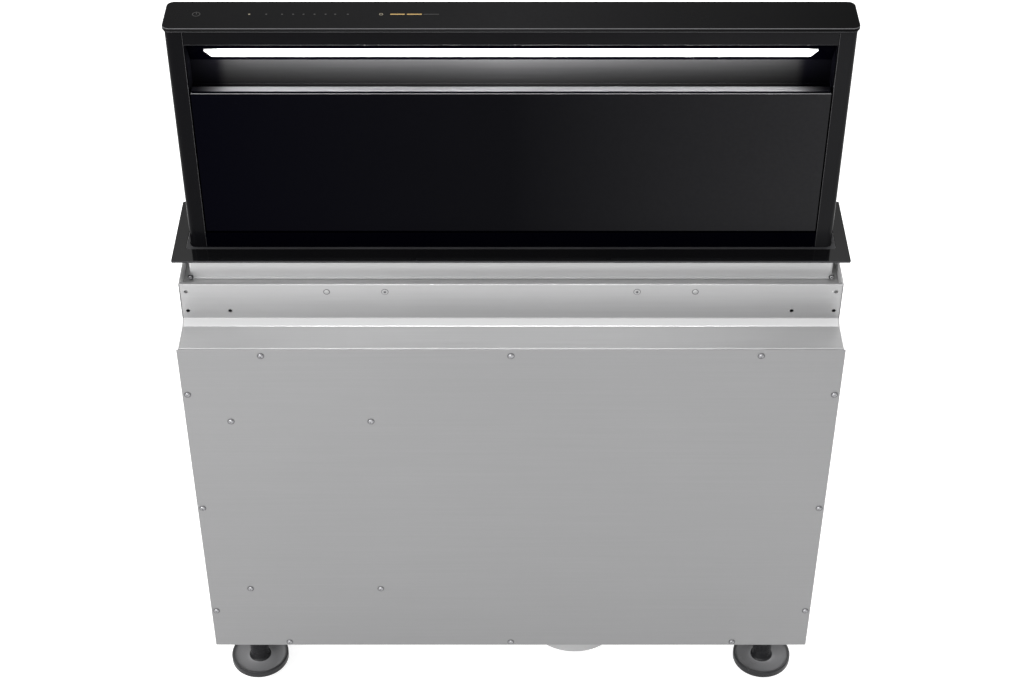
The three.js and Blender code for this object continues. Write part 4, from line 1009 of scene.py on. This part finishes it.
def widenLamp(piece, drop):
    # the slanted ends go a little farther out, the upper ones most
    near, far = lampShape["reach"]
    for upper, wider in ((True, lampShape["topWider"]), (False, lampShape["bottomWider"])):
        for side in (-1, 1):
            shiftPoints(
                piece, lambda place: (place.z > lampMiddle) == upper
                and near < side * place.x < far and lampLow.z - 1 < place.z < lampHigh.z + 1,
                (side * wider, 0, 0))
    if drop:
        shiftPoints(piece, lambda place: place.z > lampMiddle, (0, 0.5 * drop, -drop))


for node, look, drop in (("lamp_housing", "stripCoat", 0),
                         ("lamp_diffuser", "lampLight", lampShape["topDrop"])):
    piece = copyNode(node)
    widenLamp(piece, drop)
    softenEdges(piece, lampShape["edge"])
    dress(piece, look, node)

lampGlow = {
    "place": (0, 9.0, 1084.0), "width": 744, "depth": 6, "aim": (0, 0.42, -1.0), "watts": 2.8,
}
glow = addLight("lampGlow", Vector(lampGlow["place"]) * mm, lampGlow["aim"],
                lampGlow["width"] * mm, lampGlow["depth"] * mm, lampGlow["watts"])
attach(glow, "chimney")
dressNode("chimney_back", "blackCoat")

lowerBend = 0.8
low, high = boxOf("lower_front")
lowerPath = [(high.y, high.z), (low.y, high.z), (low.y, low.z), (high.y, low.z)]
lowerFront = foldSheet("lowerFront", "lower_front", lowerPath, lowerBend)
dress(lowerFront, "stripCoat", "lower_front")
dressNode("filter_frame", "slotCoat", 0.2)

filterMesh = {
    "cell": 6.0, "wire": 0.9,
    "margin": 6.0,  # the mesh inside its frame's edge
    "layers": (-1.6, 1.6),
}
for number in ("1", "2", "3"):
    node = "grease_filter_" + number
    dressNode(node, "aluminium", 0.5, 3)
    low, high = boxOf(node)
    middle = (low + high) / 2
    wide = high.x - low.x - 2 * filterMesh["margin"]
    tall = high.z - low.z - 2 * filterMesh["margin"]
    layers = []
    for depth in filterMesh["layers"]:
        deselectAll()
        bpy.ops.mesh.primitive_grid_add(
            x_subdivisions=round(wide / filterMesh["cell"]),
            y_subdivisions=round(tall / filterMesh["cell"]), size=1, rotation=turns["front"],
            location=Vector((middle.x, middle.y + depth, middle.z)) * mm)
        layer = bpy.context.object
        layer.scale = (wide * mm, tall * mm, 1)
        settle(layer)
        useModifier(layer, "WIREFRAME", thickness=filterMesh["wire"] * mm, use_even_offset=False,
                    use_boundary=True)
        tidyMesh(layer)
        layers.append(layer)
    dress(joinPieces(layers, "filterMesh" + number), "aluminium", body="chimney")

glassShape = {"corner": 1.5, "edge": 0.6}
glassLow, glassHigh = boxOf("glass_panel")
glass = addPlate("glassPanel", glassLow, glassHigh, 1, glassShape["corner"], 4,
                 glassShape["edge"], 3, 50)
dress(glass, "panelGlass", "glass_panel")
# the glass's upper edge faces get a painted highlight
lightEdges(glass, lambda middle, normal: normal.z > 0.2 and isSlanted(normal), "glassEdgePaintedHighlight")
carrier = dressNode("panel_carrier", "ledgeCoat", 0.25)
lightEdges(carrier, lambda middle, normal: middle.z > glassHigh.z - 6 and normal.y < -0.3,
           "stripCoat")


print("stage: lift")

spindleShape = {
    "threadPitch": 5.0, "threadDepth": 0.9, "journal": 5.0, "journalLength": 17.3,
    "nutFlange": 4.0, "nutNeck": 9.7,
}


def makeSpindle(node):
    low, high = boxOf(node)
    middle = middleOf(node)
    radius = high.x - middle.x
    root, pitch = radius - spindleShape["threadDepth"], spindleShape["threadPitch"]
    shoulder, journal = high.z - spindleShape["journalLength"], spindleShape["journal"]
    profile = [(radius - 1, low.z), (radius, low.z + 1)]
    z = low.z + 2
    while z < shoulder - pitch - 1:
        profile += [(radius, z), (root, z + 0.2 * pitch), (root, z + 0.5 * pitch),
                    (radius, z + 0.7 * pitch)]
        z += pitch
    profile += [(radius, shoulder - 0.5), (radius - 0.5, shoulder), (journal, shoulder),
                (journal, high.z - 0.6), (journal - 0.6, high.z)]
    spindle = turnProfile(nameOf(node), (middle.x, middle.y, 0), "up", profile, 28, angle=30)
    dress(spindle, "brightSteel", node)


def makeNut(node):
    low, high = boxOf(node)
    middle = middleOf(node)
    spindle = node.replace("_nut", "")
    bore = boxOf(spindle)[1].x - middleOf(spindle).x + 0.3
    flange, neck = high.x - middle.x, spindleShape["nutNeck"]
    step = low.z + spindleShape["nutFlange"] - 0.3
    nut = turnProfile(nameOf(node), (middle.x, middle.y, 0), "up", [
        (bore, low.z + 0.6), (bore + 0.6, low.z), (flange - 0.4, low.z), (flange, low.z + 0.4),
        (flange, step - 0.4), (flange - 0.4, step), (neck, step), (neck, high.z - 0.4),
        (neck - 0.4, high.z), (bore, high.z), (bore, low.z + 0.6)], 48, ring=True, angle=30)
    dress(nut, "darkPlastic", node)


driveShape = {
    "motorRadius": 14.0, "motorLength": 62.0, "plateThick": 3.2, "corner": 3, "screwInset": 4.2,
    "screw": {"radius": 3.0, "height": 1.8, "recess": 1.3, "recessDepth": 0.9},
}


def makeDrive(side):
    # a gearbox with its motor below, on a plate with four screws
    node, tag = "spindle_drive_" + side, side.title()
    low, high = boxOf(node)
    middle = middleOf("spindle_" + side)
    plateFront = high.y - driveShape["plateThick"]
    half = plateFront - middle.y
    motorTop, corner = low.z + driveShape["motorLength"], driveShape["corner"]
    gearbox = addPlate("driveGearbox" + tag, (middle.x - half, middle.y - half, motorTop),
                       (middle.x + half, middle.y + half, high.z), 2, corner, 5, 0.6, 3)
    radius = driveShape["motorRadius"]
    can = turnProfile("driveMotor" + tag, (middle.x, middle.y, 0), "up", [
        (4, low.z + 1.2), (5, low.z), (radius - 1.6, low.z), (radius, low.z + 1.6),
        (radius, motorTop - 8), (radius - 0.6, motorTop - 7.6), (radius - 0.6, motorTop - 6.4),
        (radius, motorTop - 6), (radius, motorTop + 0.5)], 56, angle=30)
    plate = addPlate("drivePlate" + tag, (low.x, plateFront, motorTop), high, 1, corner, 5, 0.3)
    inset = driveShape["screwInset"]
    makeScrews("driveScrews" + tag, driveShape["screw"], [
        (x, plateFront, z) for x in (low.x + inset, high.x - inset)
        for z in (motorTop + inset, high.z - inset)])
    dress(gearbox, "motorGrey", node)
    dress(can, "brightSteel")
    dress(plate, "zincSheet")


dressNode("carriage", "zincSheet", 0.5, 3)
for side in ("right", "left"):
    makeSpindle("spindle_" + side)
    makeNut("spindle_nut_" + side)
    makeDrive(side)
    dressNode("spindle_bearing_" + side, "zincSheet", 0.5, 3)
    dressNode("guide_rail_" + side, "zincSheet", 0.2)


print("stage: duct and blower")

spigotShape = {
    "wall": 1.5, "flange": 7.0,
    "flangeRise": 40.5,  # flange above the spigot's lower rim
    "pinBore": 2.8,
}
spigotLow, spigotHigh = boxOf("duct_spigot")
ductAxis = middleOf("duct_spigot")
spigotR = spigotHigh.x - ductAxis.x - spigotShape["flange"]
innerR = spigotR - spigotShape["wall"]
flangeZ = spigotLow.z + spigotShape["flangeRise"]
flangeTop = flangeZ + sheet
flangeR = spigotR + spigotShape["flange"]
spigot = turnProfile("ductSpigot", (ductAxis.x, ductAxis.y, 0), "up", [
    (innerR, spigotLow.z + 0.4), (innerR + 0.4, spigotLow.z), (spigotR - 0.6, spigotLow.z),
    (spigotR - 0.3, spigotLow.z + 0.3), (spigotR, spigotLow.z + 3), (spigotR, flangeZ - 0.8),
    (spigotR + 0.8, flangeZ), (flangeR - 0.3, flangeZ), (flangeR, flangeZ + 0.3),
    (flangeR, flangeTop - 0.3), (flangeR - 0.3, flangeTop), (spigotR + 0.8, flangeTop),
    (spigotR, flangeTop + 0.8), (spigotR, spigotHigh.z - 0.4), (spigotR - 0.4, spigotHigh.z),
    (innerR + 0.4, spigotHigh.z), (innerR, spigotHigh.z - 0.4), (innerR, spigotLow.z + 0.4)],
    112, ring=True)
pinZ = middleOf("damper_pin").z
pinBore = spigotShape["pinBore"]
cutWith(spigot, [rodAlong("pinBore", (ductAxis.x, ductAxis.y - 90, pinZ), pinBore, 180, 24)])
smooth(spigot, 30)
dress(spigot, "zincSheet", "duct_spigot")
pinLow, pinHigh = boxOf("damper_pin")
axle = rodAlong("damperPin", (ductAxis.x, pinLow.y, pinZ), pinHigh.z - pinZ,
                pinHigh.y - pinLow.y, 32, 0.5)
smooth(axle)
dress(axle, "brightSteel", "damper_pin")

flapShape = {
    "thick": 1.5, "rimGap": 0.7, "beadInset": 6.0, "beadWidth": 2.4, "beadRise": 0.6,
    "seam": 0.4, "knuckle": 4.5, "knuckleInset": 8.0, "knuckles": 4,
    "relief": 3.6,  # the hollow along the pin between the knuckles
    "clear": 0.5,
    "overrun": 3,  # cutters go this far past the rim
}


def makeFlap(node, side):
    radius = innerR - flapShape["rimGap"]
    half = flapShape["thick"] / 2
    bead = radius - flapShape["beadInset"]
    rise, wide = flapShape["beadRise"], flapShape["beadWidth"]
    flap = turnProfile(nameOf(node), (ductAxis.x, ductAxis.y, pinZ), "up", [
        (radius - 0.3, -half), (radius, 0.3 - half), (radius, half - 0.3), (radius - 0.3, half),
        (bead, half), (bead - 0.4, half + rise), (bead + 0.4 - wide, half + rise),
        (bead - wide, half)], 96)
    past = radius + flapShape["overrun"]
    seamX, far = ductAxis.x + side * flapShape["seam"], ductAxis.x - side * past
    cutWith(flap, [addBox("otherHalf", (min(far, seamX), ductAxis.y - past, pinZ - 5),
                          (max(far, seamX), ductAxis.y + past, pinZ + 5))])
    pinStart = (ductAxis.x, ductAxis.y - past, pinZ)
    cutWith(flap, [rodAlong("relief", pinStart, flapShape["relief"], 2 * past)])
    reach, knuckle = radius - flapShape["knuckleInset"], flapShape["knuckle"]
    clear, span = flapShape["clear"], 2 * reach / flapShape["knuckles"]
    for number in range(flapShape["knuckles"]):
        y = ductAxis.y - reach + number * span
        if number % 2 == (0 if side > 0 else 1):
            rod = rodAlong("knuckle", (ductAxis.x, y + clear, pinZ), knuckle, span - 2 * clear)
            cutWith(flap, [rod], "UNION")
        else:
            cutWith(flap, [rodAlong("room", (ductAxis.x, y, pinZ), knuckle + clear, span, 32, 0.1)])
    cutWith(flap, [rodAlong("bore", pinStart, pinBore, 2 * past, 24)])
    smooth(flap, 30)
    dress(flap, "darkPlastic", node)


makeFlap("damper_flap_right", 1)
makeFlap("damper_flap_left", -1)

motorShape = {
    "bore": 4.3, "boreDepth": 30, "finPitch": 4.5, "finDepth": 1.6, "finFrom": 6.0,
}
motorLow, motorHigh = boxOf("fan_motor")
motorAxis = middleOf("fan_motor")
motorR = motorHigh.x - motorAxis.x
motorLong = motorHigh.y - motorLow.y
motorBore, finRoot = motorShape["bore"], motorR - motorShape["finDepth"]
finPitch, finFrom = motorShape["finPitch"], motorShape["finFrom"]
profile = [
    (motorBore, motorLong - motorShape["boreDepth"]), (motorBore, motorLong), (12, motorLong),
    (12.6, motorLong - 2), (motorR - 3, motorLong - 2.4), (motorR - 1, motorLong - 3.4),
    (motorR, motorLong - 5),
]
depth = motorLong - finFrom - 1
while depth > finFrom + finPitch:
    profile += [(motorR, depth), (finRoot, depth - 0.5), (finRoot, depth - 0.5 * finPitch + 0.4),
                (motorR, depth - 0.5 * finPitch)]
    depth -= finPitch
profile += [(motorR, 3), (motorR - 2, 1), (14, 0.4), (13, 0), (0.01, 0)]
motor = turnProfile("fanMotor", (motorAxis.x, motorLow.y, motorAxis.z), "back", profile, 72,
                    angle=30)
dress(motor, "motorGrey", "fan_motor")

glandShape = {
    "bore": 5.0, "hexTall": 5.0,
    "flatShare": 0.87,  # the flats' distance from the axis, as a share of the radius
    "headTall": 4,
    "gap": 0.6,  # between the nut and the sheet
}
glandLow, glandHigh = boxOf("cable_gland")
glandAxis = middleOf("cable_gland")
glandR = glandHigh.x - glandAxis.x
bore = glandShape["bore"]
head = glandHigh.z - glandShape["headTall"]
under = head - sheet - glandShape["gap"]
hexLow = under - glandShape["hexTall"]
gland = turnProfile("cableGland", (glandAxis.x, glandAxis.y, 0), "up", [
    (bore, glandLow.z + 0.6), (bore + 0.6, glandLow.z), (glandR - 2.2, glandLow.z),
    (glandR - 1.2, glandLow.z + 1), (glandR - 1.2, hexLow), (glandR, hexLow + 0.6),
    (glandR, under), (glandR - 2, under), (glandR - 2, head), (glandR - 0.4, head),
    (glandR, head + 0.4), (glandR, glandHigh.z - 0.6), (glandR - 0.6, glandHigh.z),
    (bore + 0.4, glandHigh.z), (bore, glandHigh.z - 0.4), (bore, glandLow.z + 0.6)],
    48, ring=True)
for turn in range(6):
    flat = addBox("flat", (glandShape["flatShare"] * glandR, -glandR, glandLow.z + 0.5),
                  (2 * glandR, glandR, under - 0.4))
    flat.rotation_euler = (0, 0, turn * math.pi / 3)
    flat.location = Vector((glandAxis.x, glandAxis.y, 0)) * mm
    settle(flat)
    cutWith(gland, [flat])
smooth(gland, 25)
dress(gland, "darkPlastic", "cable_gland")

board = {
    "thick": 1.6,
    "core": (0, 45, 24),  # the transformer: its place from the middle, its side and its depth
    "coreRise": 60,
    "coreSlots": (0.36, 0.28, 0.4, 0.2, 0.5),  # its yokes and legs, as shares of its side
    "winding": (0.54, 0.42),
    "capacitors": [(-52, 30, 9, 22), (-52, 6, 9, 22), (52, 36, 6, 16), (52, 18, 6, 16),
                   (38, 27, 5, 12)],
    "relays": [(-40, -50), (-16, -50), (8, -50)],
    "relaySize": (19, 15, 12),
    "chips": [(34, -48, 20, 20, 2.2), (36, -12, 12, 8, 1.8), (-30, -16, 9, 6, 1.6),
              (12, 62, 14, 5, 1.8)],
    "terminals": 12, "terminalPitch": 10, "terminalSize": (9.6, 15, 12), "terminalDrop": 30,
}
boardLow, boardHigh = boxOf("control_board")
boardMid = (boardLow + boardHigh) / 2
boardFace = boardHigh.y - board["thick"]
boxLow, boxHigh = boxOf("electronics_box")
plate = addPlate("controlBoard", (boardLow.x, boardFace, boardLow.z), boardHigh, 1, 3, 5, 0.2)
dress(plate, "boardGreen", "control_board")


def onBoard(name, x, z, wide, tall, deep, edge=0.5):
    # a block on the board's face, its place taken from the board's middle
    block = addBox(name, (boardMid.x + x - wide / 2, boardFace - deep, boardMid.z + z - tall / 2),
                   (boardMid.x + x + wide / 2, boardFace, boardMid.z + z + tall / 2))
    softenEdges(block, edge, 3)
    return block


coreX, coreSide, coreDeep = board["core"]
coreZ = boxLow.z + board["coreRise"] + coreSide / 2 - boardMid.z
yokeAt, yokeTall, legAt, legWide, legTall = (share * coreSide for share in board["coreSlots"])
core = [onBoard("core", coreX, coreZ + side * yokeAt, coreSide, yokeTall, coreDeep)
        for side in (-1, 1)]
core += [onBoard("core", coreX + side * legAt, coreZ, legWide, legTall, coreDeep)
         for side in (-1, 1)]
dress(joinPieces(core, "transformerCore"), "motorGrey")
windingWide, windingTall = (share * coreSide for share in board["winding"])
winding = onBoard("transformerWinding", coreX, coreZ, windingWide, windingTall, coreDeep - 2, 3)
dress(winding, "copperWire")
cans = []
for x, z, radius, deep in board["capacitors"]:
    cans.append(turnProfile("capacitors", (boardMid.x + x, boardFace, boardMid.z + z), "front", [
        (radius - 0.5, 0), (radius, 0.5), (radius, 2), (radius - 0.6, 2.6), (radius, 3.2),
        (radius, deep - 0.8), (radius - 0.8, deep), (radius - 2, deep),
        (radius - 2.3, deep - 0.4)], 36, angle=30))
dress(joinPieces(cans, "capacitors"), "aluminium")
blocks = [onBoard("relay", x, z, *board["relaySize"], 0.8) for x, z in board["relays"]]
blocks += [onBoard("chip", *chip, 0.3) for chip in board["chips"]]
dress(joinPieces(blocks, "boardRelays"), "darkPlastic")
terminalTop = boxHigh.z - board["terminalDrop"] - boardMid.z
terminals = []
for number in range(board["terminals"]):
    x = (number - (board["terminals"] - 1) / 2) * board["terminalPitch"]
    terminal = onBoard("terminal", x, terminalTop - 7.5, *board["terminalSize"], 0.6)
    centre = (boardMid.x + x, boardFace - 13, boardMid.z + terminalTop - 5)
    cutWith(terminal, [rodAlong("screwHole", centre, 2.6, 8, 16, 0.1)])
    terminals.append(terminal)
dress(joinPieces(terminals, "boardTerminals"), "motorGrey")

for node, look in (
    ("spigot_plate", "zincSheet"),
    ("volute_front", "zincSheet"),
    ("volute_back", "zincSheet"),
    ("impeller", "darkPlastic"),
    ("fan_shaft", "brightSteel"),
    ("motor_bracket", "zincSheet"),
    ("electronics_box", "zincSheet"),
):
    dressNode(node, look, 0.15)


bpy.context.view_layer.update()
